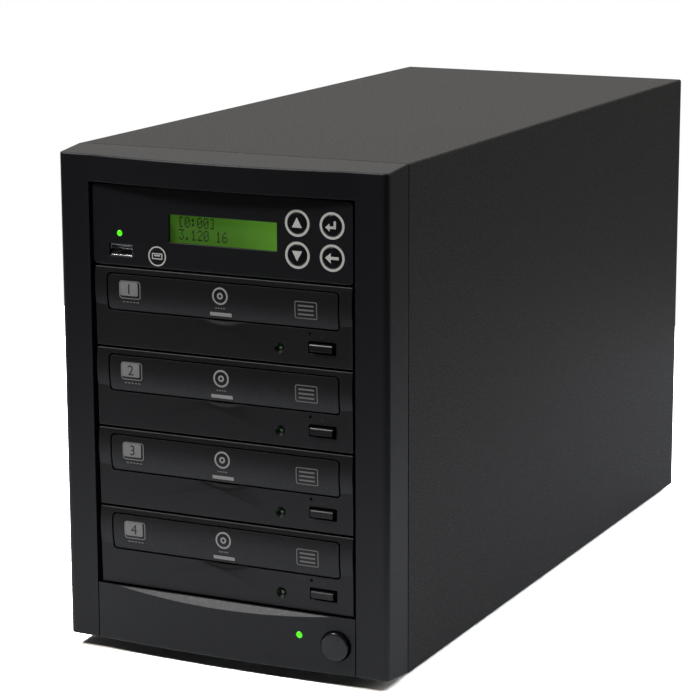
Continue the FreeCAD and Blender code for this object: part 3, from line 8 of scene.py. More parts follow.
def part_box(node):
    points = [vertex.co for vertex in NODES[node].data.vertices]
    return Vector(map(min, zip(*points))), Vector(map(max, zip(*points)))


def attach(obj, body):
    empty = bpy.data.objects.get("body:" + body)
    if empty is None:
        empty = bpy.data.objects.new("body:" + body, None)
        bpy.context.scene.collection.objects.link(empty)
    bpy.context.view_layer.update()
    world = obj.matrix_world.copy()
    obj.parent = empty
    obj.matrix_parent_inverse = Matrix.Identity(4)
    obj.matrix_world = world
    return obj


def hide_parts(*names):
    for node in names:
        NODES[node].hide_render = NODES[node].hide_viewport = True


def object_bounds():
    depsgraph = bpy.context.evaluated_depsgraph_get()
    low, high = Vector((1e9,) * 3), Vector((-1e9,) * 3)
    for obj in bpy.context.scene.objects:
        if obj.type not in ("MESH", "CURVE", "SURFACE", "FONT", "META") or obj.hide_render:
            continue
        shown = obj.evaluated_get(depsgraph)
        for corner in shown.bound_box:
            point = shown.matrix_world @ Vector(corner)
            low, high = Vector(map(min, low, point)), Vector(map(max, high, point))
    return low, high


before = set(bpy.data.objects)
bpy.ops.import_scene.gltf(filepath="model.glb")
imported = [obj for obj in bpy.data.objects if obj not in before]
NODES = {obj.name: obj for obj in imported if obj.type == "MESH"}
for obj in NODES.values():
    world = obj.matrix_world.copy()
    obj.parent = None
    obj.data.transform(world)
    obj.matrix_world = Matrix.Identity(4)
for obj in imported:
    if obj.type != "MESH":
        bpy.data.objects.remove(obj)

# The look of the disc duplicator: finishes for every solid, the printed marks, the
# lit display, the rear screws, and a plain white studio seen from the photograph's place.

CAD_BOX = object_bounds()
MM = 0.001
DRIVES = (1, 2, 3, 4)

# Where things lie, read from the solids, in metres
PANEL_LOW, PANEL_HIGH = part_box("control_panel")
COVER_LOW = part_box("cover")[0]
FACE_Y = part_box("drive_1_bezel")[0].y

# Camera fitted to the photograph: places in millimetres from the drive faces' plane, the
# middle of the case and the cover's lower edge, the roll in radians, the clips in metres
CAMERA_AT = (625.475, -1138.253, 446.531)
CAMERA_AIM = (-0.352, 150.0, 136.079)
CAMERA_ROLL = -0.003
CAMERA_LENS = 134.02
CAMERA_SENSOR = 36.0
CAMERA_CLIP = (0.05, 50.0)


# Small helpers

def middle(node):
    """Centre of a solid's box."""
    low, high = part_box(node)
    return (low + high) / 2


def new_object(name, data):
    made = bpy.data.objects.new(name, data)
    bpy.context.scene.collection.objects.link(made)
    return made


def baked(name, maker, material=None):
    """A plain mesh object from an evaluated maker object, which is then dropped."""
    graph = bpy.context.evaluated_depsgraph_get()
    graph.update()
    mesh = bpy.data.meshes.new_from_object(maker.evaluated_get(graph))
    mesh.name = name
    bpy.data.objects.remove(maker)
    if material:
        coloured(mesh, material)
    return new_object(name, mesh)


def coloured(mesh, material):
    """Gives a mesh one finish."""
    mesh.materials.clear()
    mesh.materials.append(material)


# Finishes. Lengths are in metres.

# Values between which a noise field mostly lies
NOISE_LOW, NOISE_HIGH = 0.3, 0.7
EDGE_SAMPLES = 4


class Finish:
    """A surface of one shader with patterns on object coordinates."""

    def __init__(self, name, color, roughness, metallic=0.0, specular=0.5):
        self.material = bpy.data.materials.new(name)
        self.material.use_nodes = True
        self.tree = self.material.node_tree
        self.shader = self.tree.nodes["Principled BSDF"]
        self.material.diffuse_color = (*color, 1.0)
        self.color = color
        self.set("Base Color", (*color, 1.0))
        self.set("Roughness", roughness)
        self.set("Metallic", metallic)
        self.set("Specular IOR Level", specular)
        self.place = self.node("ShaderNodeTexCoord").outputs["Object"]
        self.normal = None

    def set(self, socket, value):
        self.shader.inputs[socket].default_value = value

    def node(self, kind, **inputs):
        """A node with its inputs set; their names have _ for a space."""
        made = self.tree.nodes.new(kind)
        for socket, value in inputs.items():
            made.inputs[socket.replace("_", " ")].default_value = value
        return made

    def link(self, source, target):
        self.tree.links.new(source, target)

    def noise(self, per_metre, detail=2.0, stretch=None):
        """A noise field with a grain count to the metre, drawn out along an axis if asked."""
        made = self.node("ShaderNodeTexNoise", Scale=per_metre, Detail=detail)
        place = self.place
        if stretch:
            mapping = self.node("ShaderNodeMapping", Scale=stretch)
            self.link(place, mapping.inputs["Vector"])
            place = mapping.outputs["Vector"]
        self.link(place, made.inputs["Vector"])
        return made.outputs["Fac"]

    def ranged(self, field, first, last, start=NOISE_LOW, end=NOISE_HIGH):
        """A field spread over a range of values."""
        made = self.node("ShaderNodeMapRange", From_Min=start, From_Max=end, To_Min=first, To_Max=last)
        self.link(field, made.inputs["Value"])
        return made.outputs["Result"]

    def tones(self, field, dark, light, start=NOISE_LOW, end=NOISE_HIGH):
        """Base colour that runs between two tones of the finish over a field."""
        ramp = self.node("ShaderNodeValToRGB")
        ramp.color_ramp.elements[0].position = start
        ramp.color_ramp.elements[1].position = end
        for element, gain in zip(ramp.color_ramp.elements, (dark, light)):
            element.color = (*[channel * gain for channel in self.color], 1.0)
        self.link(field, ramp.inputs["Fac"])
        self.link(ramp.outputs["Color"], self.shader.inputs["Base Color"])

    def gloss(self, field, first, last):
        """Roughness that runs between two values over a field."""
        self.link(self.ranged(field, first, last), self.shader.inputs["Roughness"])

    def soft_edges(self, radius):
        """Edges that catch the light as if broken by a small round."""
        made = self.node("ShaderNodeBevel", Radius=radius)
        made.samples = EDGE_SAMPLES
        self.normal = made.outputs["Normal"]
        self.link(self.normal, self.shader.inputs["Normal"])

    def relief(self, field, strength, depth):
        """Raises the surface over a field."""
        made = self.node("ShaderNodeBump", Strength=strength, Distance=depth)
        self.link(field, made.inputs["Height"])
        if self.normal:
            self.link(self.normal, made.inputs["Normal"])
        self.normal = made.outputs["Normal"]
        self.link(self.normal, self.shader.inputs["Normal"])


def powder_coat():
    """Black powder coat with a fine orange-peel grain, glossier where it is lighter."""
    coat = Finish("powder_coat", (0.0135, 0.0131, 0.0127), roughness=0.5, specular=0.1)
    grain = coat.noise(1400.0)
    coat.tones(grain, dark=0.2, light=1.9, start=0.36, end=0.66)
    coat.gloss(grain, first=0.6, last=0.44)
    coat.soft_edges(radius=0.0005)
    coat.relief(grain, strength=0.3, depth=0.00012)
    return coat.material


def moulded_black(name, color, smooth, rough, grain_depth, edge=0.00035):
    """Black plastic with a fine spark-eroded grain."""
    plastic = Finish(name, color, (smooth + rough) / 2, specular=0.2)
    grain = plastic.noise(1500.0)
    plastic.tones(grain, dark=0.4, light=1.6)
    plastic.gloss(grain, first=rough, last=smooth)
    plastic.soft_edges(radius=edge)
    plastic.relief(grain, strength=0.4, depth=grain_depth)
    return plastic.material


def smooth_black(name, color, roughness, specular=0.5):
    """Glossy black plastic with a trace of handling."""
    plastic = Finish(name, color, roughness, specular=specular)
    plastic.tones(plastic.noise(180.0), dark=0.9, light=1.1)
    plastic.gloss(plastic.noise(260.0, detail=4.0), first=roughness * 0.9, last=roughness * 1.12)
    plastic.soft_edges(radius=0.0002)
    return plastic.material


def domed_black():
    """Satin black of the round power button, rubbed a little smoother in places."""
    plastic = Finish("button_plastic", (0.0045, 0.0046, 0.0055), roughness=0.26, specular=0.25)
    plastic.tones(plastic.noise(700.0), dark=0.88, light=1.12)
    plastic.gloss(plastic.noise(240.0, detail=3.0), first=0.23, last=0.29)
    return plastic.material


def zinc_sheet(name, color, smooth, rough, spangle):
    """Plated steel sheet with faint rolling lines and cloudy spangle."""
    sheet = Finish(name, color, (smooth + rough) / 2, metallic=1.0)
    crystals = sheet.node("ShaderNodeTexVoronoi", Scale=spangle)
    sheet.link(sheet.place, crystals.inputs["Vector"])
    sheet.tones(crystals.outputs["Distance"], dark=0.86, light=1.06, start=0.1, end=0.8)
    lines = sheet.noise(90.0, detail=3.0, stretch=(1.0, 1.0, 14.0))
    sheet.gloss(lines, first=smooth, last=rough)
    sheet.soft_edges(radius=0.0002)
    sheet.relief(lines, strength=0.05, depth=0.00004)
    return sheet.material


def plated_screw():
    """Bright plated steel with turned marks."""
    steel = Finish("plated_screw", (0.58, 0.57, 0.55), roughness=0.3, metallic=1.0)
    steel.tones(steel.noise(1400.0), dark=0.8, light=1.1)
    steel.gloss(steel.noise(2200.0), first=0.22, last=0.42)
    return steel.material


def foot_rubber():
    """Dull black rubber with a coarse skin."""
    rubber = Finish("foot_rubber", (0.022, 0.022, 0.023), roughness=0.8, specular=0.25)
    rubber.tones(rubber.noise(700.0), dark=0.8, light=1.25)
    rubber.relief(rubber.noise(1500.0), strength=0.3, depth=0.0001)
    return rubber.material


def ink(name, color):
    """Screen-printed ink, a little uneven in cover."""
    print_ink = Finish(name, color, roughness=0.55, specular=0.3)
    print_ink.tones(print_ink.noise(2600.0, detail=3.0), dark=0.86, light=1.06)
    return print_ink.material


def lit_green():
    """A lit lens."""
    lens = Finish("lit_green", (0.012, 0.06, 0.002), roughness=0.2)
    lens.tones(lens.noise(900.0), dark=0.8, light=1.2)
    lens.set("Emission Color", (0.085, 1.0, 0.0, 1.0))
    lens.set("Emission Strength", 1.0)
    return lens.material


def dark_lens():
    """Unlit green lens of a drive lamp."""
    lens = Finish("dark_lens", (0.03, 0.09, 0.03), roughness=0.08)
    lens.tones(lens.noise(1200.0), dark=0.6, light=1.3)
    return lens.material


def clear_window():
    """Thin clear sheet over the display."""
    sheet = Finish("clear_window", (0.12, 0.13, 0.12), roughness=0.06, specular=0.2)
    sheet.tones(sheet.noise(120.0), dark=0.94, light=1.0)
    sheet.set("Alpha", 0.015)
    return sheet.material


# The display's light, as shares of its width from the left end
BACKLIGHT_STOPS = (
    (0.02, (0.018, 0.060, 0.005)),
    (0.085, (0.029, 0.088, 0.006)),
    (0.55, (0.036, 0.110, 0.009)),
    (1.0, (0.064, 0.190, 0.014)),
)
BACKLIGHT_CLOUD = 0.05


def backlight():
    """Yellow-green backlight, dimmer towards the left end and a little cloudy."""
    glass = Finish("backlight", (0.012, 0.022, 0.006), roughness=0.35, specular=0.2)
    low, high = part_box("display_window")
    axes = glass.node("ShaderNodeSeparateXYZ")
    glass.link(glass.place, axes.inputs["Vector"])
    along = glass.ranged(axes.outputs["X"], 0.0, 1.0, start=low.x, end=high.x)
    cloud = glass.ranged(glass.noise(70.0), -BACKLIGHT_CLOUD, BACKLIGHT_CLOUD)
    total = glass.node("ShaderNodeMath")
    glass.link(along, total.inputs[0])
    glass.link(cloud, total.inputs[1])
    ramp = glass.node("ShaderNodeValToRGB")
    stops = ramp.color_ramp.elements
    stops.remove(stops[1])
    for number, (place, color) in enumerate(BACKLIGHT_STOPS):
        stop = stops.new(place) if number else stops[0]
        stop.position = place
        stop.color = (*color, 1.0)
    glass.link(total.outputs[0], ramp.inputs["Fac"])
    glass.link(ramp.outputs["Color"], glass.shader.inputs["Emission Color"])
    glass.set("Emission Strength", 1.0)
    return glass.material


def circuit_board():
    """Green board with an uneven solder mask."""
    board = Finish("circuit_board", (0.006, 0.026, 0.012), roughness=0.4)
    board.tones(board.noise(300.0), dark=0.7, light=1.2)
    board.gloss(board.noise(500.0), first=0.3, last=0.5)
    return board.material


def plain_grey():
    """Grey plastic of the loaders."""
    grey = Finish("loader_plastic", (0.28, 0.28, 0.29), roughness=0.5)
    grey.tones(grey.noise(600.0), dark=0.9, light=1.08)
    return grey.material


LOOK = {
    "coat": powder_coat(),
    "front": moulded_black("front_plastic", (0.0043, 0.0043, 0.0052), 0.38, 0.48, 0.00007, edge=0.0005),
    "drive": moulded_black("drive_plastic", (0.0056, 0.0055, 0.0058), 0.36, 0.46, 0.00005, edge=0.00015),
    "panel": moulded_black("panel_plastic", (0.0046, 0.0047, 0.0054), 0.38, 0.46, 0.00004, edge=0.0005),
    "key": smooth_black("key_plastic", (0.006, 0.006, 0.0068), 0.2),
    "button": domed_black(),
    "eject": smooth_black("eject_plastic", (0.005, 0.005, 0.0055), 0.34, specular=0.2),
    "gloss": smooth_black("gloss_plastic", (0.014, 0.014, 0.014), 0.1),
    "fan": moulded_black("fan_plastic", (0.022, 0.022, 0.023), 0.36, 0.46, 0.00003),
    "tray": moulded_black("tray_plastic", (0.035, 0.035, 0.036), 0.4, 0.5, 0.00004),
    "loader": plain_grey(),
    "sheet": zinc_sheet("zinc_sheet", (0.60, 0.605, 0.61), 0.32, 0.46, 120.0),
    # Dark steel of the front frame, which also paints shade into the seam between cover and front
    "dark_steel_seam_shade": zinc_sheet("dark_steel_seam_shade", (0.06, 0.06, 0.062), 0.4, 0.5, 120.0),
    "psu": zinc_sheet("supply_sheet", (0.50, 0.505, 0.51), 0.36, 0.5, 90.0),
    "drive_sheet": zinc_sheet("drive_sheet", (0.62, 0.62, 0.63), 0.3, 0.42, 160.0),
    "shell": zinc_sheet("socket_shell", (0.66, 0.66, 0.66), 0.2, 0.32, 400.0),
    "screw": plated_screw(),
    "rubber": foot_rubber(),
    "white_ink": ink("white_ink", (0.46, 0.457, 0.43)),
    "grey_ink": ink("grey_ink", (0.265, 0.265, 0.26)),
    "tile_ink": ink("tile_ink", (0.175, 0.175, 0.17)),
    "faint_ink": ink("faint_ink", (0.12, 0.12, 0.117)),
    "dark_ink": ink("dark_ink", (0.012, 0.012, 0.012)),
    "lit": lit_green(),
    "lens": dark_lens(),
    "window": clear_window(),
    "backlight": backlight(),
    "segment": ink("display_segment", (0.006, 0.012, 0.004)),
    "board": circuit_board(),
}

SOLID_FINISHES = {
    "front": ["front_bezel"],
    "key": ["up_button", "down_button", "enter_button", "back_button"],
    "gloss": ["power_switch", "psu_inlet", "psu_switch_frame", "psu_rocker"],
    "fan": ["case_fan_frame", "case_fan_rotor", "psu_fan_frame", "psu_fan_rotor"],
    "sheet": ["base_pan", "rear_panel", "cage_left", "cage_right", "controller_sled"],
    # The front frame is dark so that the seam between cover and front shows painted shade
    "dark_steel_seam_shade": ["front_frame"],
    "psu": ["psu_case"],
    "shell": ["usb_socket"],
    "screw": ["drive_screws", "cover_screws", "module_screws"],
    "rubber": ["feet"],
    "lit": ["power_lamp", "panel_lamp"],
    "lens": ["drive_lamps"],
    "window": ["display_window"],
    "backlight": ["display_module"],
    "board": ["front_board", "controller_board"],
    "tray": ["drive_%d_tray" % n for n in DRIVES],
    "drive_sheet": ["drive_%d_shell" % n for n in DRIVES],
    "loader": ["drive_%d_loader" % n for n in DRIVES],
}


def finish_solids():
    for look, nodes in SOLID_FINISHES.items():
        for node in nodes:
            coloured(NODES[node].data, LOOK[look])


# Moulded faces shown in place of plainer solids: a copy of the solid, shaped point by
# point. Welds are in metres, other lengths in millimetres.

SHOWN = dict(NODES)
WELD = 1e-6
BUTTON_WELD = 1e-4
SMOOTH_ANGLE = math.radians(28)


def recast(node, body, look, shape=None, weld=WELD):
    """Shows a copy of a solid in its place, with each point put through a shaping rule."""
    mesh = bmesh.new()
    mesh.from_mesh(NODES[node].data)
    bmesh.ops.remove_doubles(mesh, verts=mesh.verts, dist=weld)
    for vertex in mesh.verts:
        if shape:
            shape(vertex.co)
    for edge in mesh.edges:
        edge.smooth = edge.calc_face_angle(math.pi) < SMOOTH_ANGLE
    for face in mesh.faces:
        face.smooth = True
    data = bpy.data.meshes.new(node + "_plain")
    mesh.to_mesh(data)
    mesh.free()
    maker = new_object(node + "_maker", data)
    maker.modifiers.new("flats_first", "WEIGHTED_NORMAL").keep_sharp = True
    piece = baked(node + "_shaped", maker, LOOK[look])
    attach(piece, body)
    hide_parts(node)
    SHOWN[node] = piece


# The hollow band of a drive's face, from its foot to its lip below the face's top
HOLLOW_FOOT = 21.7
HOLLOW_LIP = 1.0
HOLLOW_REACH = 1.25
CROWN_RISE = 0.85
FACE_TOP_DROP = 0.3
# The thumb scoop below a tray
SCOOP_FOOT = 15.0
SCOOP_HALF = 15.4
SCOOP_REACH = 1.4
SCOOP_MORE = 1.15
# A tray front's width and height as shares of its solid's
TRAY_SHARE = (0.997, 0.98)


def crowned_drive(number):
    """The face and tray front of a drive, crowned along their upper band."""
    name = "drive_%d_" % number
    low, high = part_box(name + "bezel")
    foot = low.z + HOLLOW_FOOT * MM
    top = high.z - HOLLOW_LIP * MM
    level, half = (foot + top) / 2, (top - foot) / 2
    scoop_foot = low.z + SCOOP_FOOT * MM
    centre = middle(name + "tray_front")

    def crown(point):
        if point.y < FACE_Y + HOLLOW_REACH * MM:
            point.y = FACE_Y - CROWN_RISE * MM * (1 - ((point.z - level) / half) ** 2)

    def in_scoop(point):
        across = abs(point.x) < SCOOP_HALF * MM
        return across and point.z > scoop_foot and point.y < FACE_Y + SCOOP_REACH * MM

    def face_form(point):
        if foot < point.z < top:
            crown(point)
        elif point.z > top:
            point.z -= FACE_TOP_DROP * MM
        elif in_scoop(point):
            point.y = FACE_Y + (point.y - FACE_Y) * SCOOP_MORE

    def tray_form(point):
        crown(point)
        point.x *= TRAY_SHARE[0]
        point.z = centre.z + (point.z - centre.z) * TRAY_SHARE[1]

    recast(name + "bezel", "chassis", "drive", face_form)
    recast(name + "tray_front", "tray_%d" % number, "drive", tray_form)


# An eject cap's slope along its top, as depth and height, in the solid and as shown
EJECT_HALF_HEIGHT = 2.0
EJECT_SLOPE = (0.9, 1.4)
EJECT_SLOPE_SHOWN = (0.3, 0.5)
EJECT_SLOPE_END = 1.01
EJECT_SAME = 0.02
# The cap's front, and its width and height as shares of its solid's
EJECT_REACH = 3.0
EJECT_SHARE = (0.955, 0.9)


def narrow_eject_cap(number):
    """An eject cap with a narrower slope along its top and a slightly smaller front."""
    node = "drive_%d_eject_button" % number
    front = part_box(node)[0].y
    deep, tall = [size * MM for size in EJECT_SLOPE]
    deep_shown, tall_shown = [size * MM for size in EJECT_SLOPE_SHOWN]
    centre = middle(node)
    top = centre.z + EJECT_HALF_HEIGHT * MM

    def narrow(point):
        share = (point.y - front) / deep
        off_slope = abs(point.z - top + tall * (1 - share))
        if share < EJECT_SLOPE_END and off_slope < EJECT_SAME * MM:
            point.y = front + deep_shown * share
            point.z = top - tall_shown * (1 - share)
        if point.y < front + EJECT_REACH * MM:
            point.x = centre.x + (point.x - centre.x) * EJECT_SHARE[0]
            point.z = centre.z + (point.z - centre.z) * EJECT_SHARE[1]

    recast(node, "eject_%d" % number, "eject", narrow)


# How near to a piece's end the points that move lie, and how far they move
PANEL_END = 3.0
PANEL_LEFT_MORE = 1.1
PANEL_RIGHT_MORE = 0.5
LOWER_END = 1.0
LOWER_EASE = 0.3
SEAM_MORE = 0.6


def widened_panel():
    """The control panel, which reaches further into the frame's opening than the drives do."""
    left = PANEL_LOW.x + PANEL_END * MM
    right = PANEL_HIGH.x - PANEL_END * MM

    def widen(point):
        if point.x < left:
            point.x -= PANEL_LEFT_MORE * MM
        elif point.x > right:
            point.x += PANEL_RIGHT_MORE * MM

    recast("control_panel", "chassis", "panel", widen)


def eased_lower_panel():
    """The lower panel, with a little more room at both ends."""
    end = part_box("lower_panel")[1].x - LOWER_END * MM

    def ease(point):
        if abs(point.x) > end:
            point.x -= math.copysign(LOWER_EASE * MM, point.x)

    recast("lower_panel", "chassis", "front", ease)


def parted_cover():
    """The cover, with its front edge a little further from the moulded front."""
    def part(point):
        if point.y < COVER_LOW.y + SEAM_MORE * MM / 2:
            point.y += SEAM_MORE * MM

    recast("cover", "chassis", "coat", part)


# Printed marks: flat outlines in millimetres, laid on a face as thin closed slabs

# How far a mark stands out of the face and reaches into it, and the width of the fields
# that follow a curved face
INK_RISE = 0.04
INK_SINK = 0.06
INK_STEP = 0.6
# Distances that count as none when a slab is cut and welded
CUT_SAME = 0.002
OUTLINE_WELD = 1e-5
# A slab before it is laid, and a figure's height as a share of its type size
SLAB_HALF = 0.5
FIGURE_SHARE = 0.7
FIGURE_STEPS = 4
INNER_CORNER = 0.05
# Run of the rays that find the face, in metres
RAY_RUN = 1.0
ACROSS = Vector((1, 0, 0))
UPWARD = Vector((0, 1, 0))


def polygon(*points):
    return [list(points)]


def bar(left, right, low, high):
    return polygon((left, low), (right, low), (right, high), (left, high))


def dashes(starts, length, low, high):
    """A row of short bars."""
    return [bar(x, x + length, low, high) for x in starts]


def circle(x, z, radius, sides=48):
    steps = [2 * math.pi * i / sides for i in range(sides)]
    return [[(x + radius * math.cos(a), z + radius * math.sin(a)) for a in steps]]


def ring(x, z, outer, inner):
    return circle(x, z, outer) + circle(x, z, inner)


def tile(x, z, width, height, radius, sides=6):
    """A rounded rectangle about a centre."""
    points = []
    corners = ((1, 1, 0), (-1, 1, 90), (-1, -1, 180), (1, -1, 270))
    for sx, sz, start in corners:
        cx = x + sx * (width / 2 - radius)
        cz = z + sz * (height / 2 - radius)
        for i in range(sides + 1):
            a = math.radians(start + 90 * i / sides)
            points.append((cx + radius * math.cos(a), cz + radius * math.sin(a)))
    return [points]


def frame_tile(x, z, width, height, radius, stroke):
    """The outline of a rounded rectangle as a stroke."""
    inner = max(radius - stroke, INNER_CORNER)
    return tile(x, z, width, height, radius) + tile(x, z, width - 2 * stroke, height - 2 * stroke, inner)


def slab(outlines, name):
    """A thin closed slab of nested outlines, its front at local +Z."""
    curve = bpy.data.curves.new(name, "CURVE")
    curve.dimensions = "2D"
    curve.fill_mode = "BOTH"
    curve.extrude = SLAB_HALF
    for outline in outlines:
        spline = curve.splines.new("POLY")
        spline.points.add(len(outline) - 1)
        for point, (x, z) in zip(spline.points, outline):
            point.co = (x, z, 0.0, 1.0)
        spline.use_cyclic_u = True
    return baked(name, new_object(name, curve))


def numeral(text, x, z, height, name):
    """A number as a slab about a centre."""
    curve = bpy.data.curves.new(name, "FONT")
    curve.body = text
    curve.size = height / FIGURE_SHARE
    curve.extrude = SLAB_HALF
    curve.resolution_u = FIGURE_STEPS
    piece = baked(name, new_object(name, curve))
    xs = [v.co.x for v in piece.data.vertices]
    ys = [v.co.y for v in piece.data.vertices]
    shift = Vector((x - (min(xs) + max(xs)) / 2, z - (min(ys) + max(ys)) / 2, 0.0))
    piece.data.transform(Matrix.Translation(shift))
    return piece


def sliced(piece, step, axes):
    """Cuts a slab into narrow fields along the axes, so that it can follow a curved face."""
    mesh = bmesh.new()
    mesh.from_mesh(piece.data)
    bmesh.ops.remove_doubles(mesh, verts=mesh.verts, dist=OUTLINE_WELD)
    for axis in axes:
        levels = [v.co.dot(axis) for v in mesh.verts]
        level = min(levels) + step
        while level < max(levels) - CUT_SAME:
            parts = mesh.verts[:] + mesh.edges[:] + mesh.faces[:]
            bmesh.ops.bisect_plane(mesh, geom=parts, dist=CUT_SAME, plane_co=axis * level, plane_no=axis)
            level += step
    bmesh.ops.triangulate(mesh, faces=mesh.faces[:])
    bmesh.ops.recalc_face_normals(mesh, faces=mesh.faces[:])
    mesh.to_mesh(piece.data)
    mesh.free()


def merged(pieces, name):
    """Several slabs as one mesh object."""
    mesh = bmesh.new()
    for piece in pieces:
        mesh.from_mesh(piece.data)
        bpy.data.objects.remove(piece)
    whole = bpy.data.meshes.new(name)
    mesh.to_mesh(whole)
    mesh.free()
    return new_object(name, whole)


def laid(piece, node, left, low, rise):
    """Lays a slab in millimetres on a solid's front, from a corner in metres."""
    carrier = SHOWN[node]
    start = carrier.data.vertices[0].co.y - RAY_RUN
    inward = Vector((0.0, 1.0, 0.0))
    for vertex in piece.data.vertices:
        x = left + vertex.co.x * MM
        z = low + vertex.co.y * MM
        hit, spot, _normal, _face = carrier.ray_cast(Vector((x, start, z)), inward)
        depth = spot.y if hit else FACE_Y
        lift = -rise if vertex.co.z > 0 else INK_SINK
        vertex.co = (x, depth + lift * MM, z)
    mesh = bmesh.new()
    mesh.from_mesh(piece.data)
    bmesh.ops.recalc_face_normals(mesh, faces=mesh.faces[:])
    mesh.to_mesh(piece.data)
    mesh.free()


def printed(name, outlines, node, body, look, low, rise=INK_RISE, left=0.0, axes=(UPWARD,)):
    """A printed mark of several outline groups, laid on a node and riding on its body."""
    parts = []
    for number, group in enumerate(outlines):
        part = group if isinstance(group, bpy.types.Object) else slab(group, "%s_%d" % (name, number))
        sliced(part, INK_STEP, axes)
        parts.append(part)
    piece = merged(parts, name)
    laid(piece, node, left, low, rise)
    coloured(piece.data, LOOK[look])
    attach(piece, body)


# Marks on the drives, from the middle and the foot of a drive's face. A tile has a width, a
# height and a corner radius, and a frame also a stroke. Dashes have their left ends, a
# length, a foot and a top. A ring has an outer and an inner radius.
NUMBER_AT = (-53.7, 30.9)
NUMBER_TILE = (10.4, 7.2, 1.0)
NUMBER_HEIGHT = 5.4
NUMBER_FRAME_AT = (-53.2, 30.4)
NUMBER_FRAME = (12.6, 9.4, 1.6, 0.45)
NUMBER_DASHES = ((-57.6, -55.6, -53.6, -51.6, -49.6), 1.3, 23.7, 24.3)
DISC_AT = (-0.3, 31.6)
DISC_RINGS = ((4.5, 3.6), (1.7, 0.8))
DISC_BAR_AT = (-0.3, 22.0)
DISC_BAR = (12.4, 1.9, 0.2)
DISC_DASHES = ((-3.2, -1.7, -0.2, 1.3), 1.0, 24.9, 25.6)
LIST_AT = (48.4, 28.4)
LIST_FRAME = (12.6, 9.0, 1.0, 0.5)
LIST_LEFT, LIST_RIGHT = 44.0, 52.8
LIST_LEVELS = (26.2, 28.4, 30.6)
LIST_HALF = 0.45
EJECT_ARROW = ((55.9, 15.3), (58.1, 15.3), (57.0, 16.5))
EJECT_BAR = (55.9, 58.1, 14.5, 14.9)


def drive_marks(number):
    """Number tile, disc sign, list sign and eject sign of one drive."""
    body = "tray_%d" % number
    name = "drive_%d_" % number
    face = name + "tray_front"
    bezel = name + "bezel"
    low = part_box(bezel)[0].z
    tiles = [tile(*NUMBER_AT, *NUMBER_TILE), frame_tile(*NUMBER_FRAME_AT, *NUMBER_FRAME)]
    printed(name + "number_tile", tiles, face, body, "tile_ink", low)
    figure = numeral(str(number), *NUMBER_AT, NUMBER_HEIGHT, name + "figure")
    printed(name + "number", [figure], face, body, "dark_ink", low, rise=2 * INK_RISE)
    printed(name + "tile_dashes", dashes(*NUMBER_DASHES), face, body, "faint_ink", low)
    disc = [ring(*DISC_AT, *radii) for radii in DISC_RINGS] + [tile(*DISC_BAR_AT, *DISC_BAR)]
    printed(name + "disc_sign", disc, face, body, "grey_ink", low)
    printed(name + "disc_dashes", dashes(*DISC_DASHES), face, body, "faint_ink", low)
    lines = [bar(LIST_LEFT, LIST_RIGHT, level - LIST_HALF, level + LIST_HALF) for level in LIST_LEVELS]
    printed(name + "list_sign", [frame_tile(*LIST_AT, *LIST_FRAME)] + lines, face, body, "faint_ink", low)
    eject = [polygon(*EJECT_ARROW), bar(*EJECT_BAR)]
    printed(name + "eject_sign", eject, bezel, "chassis", "dark_ink", low)


# Repeats made by node trees

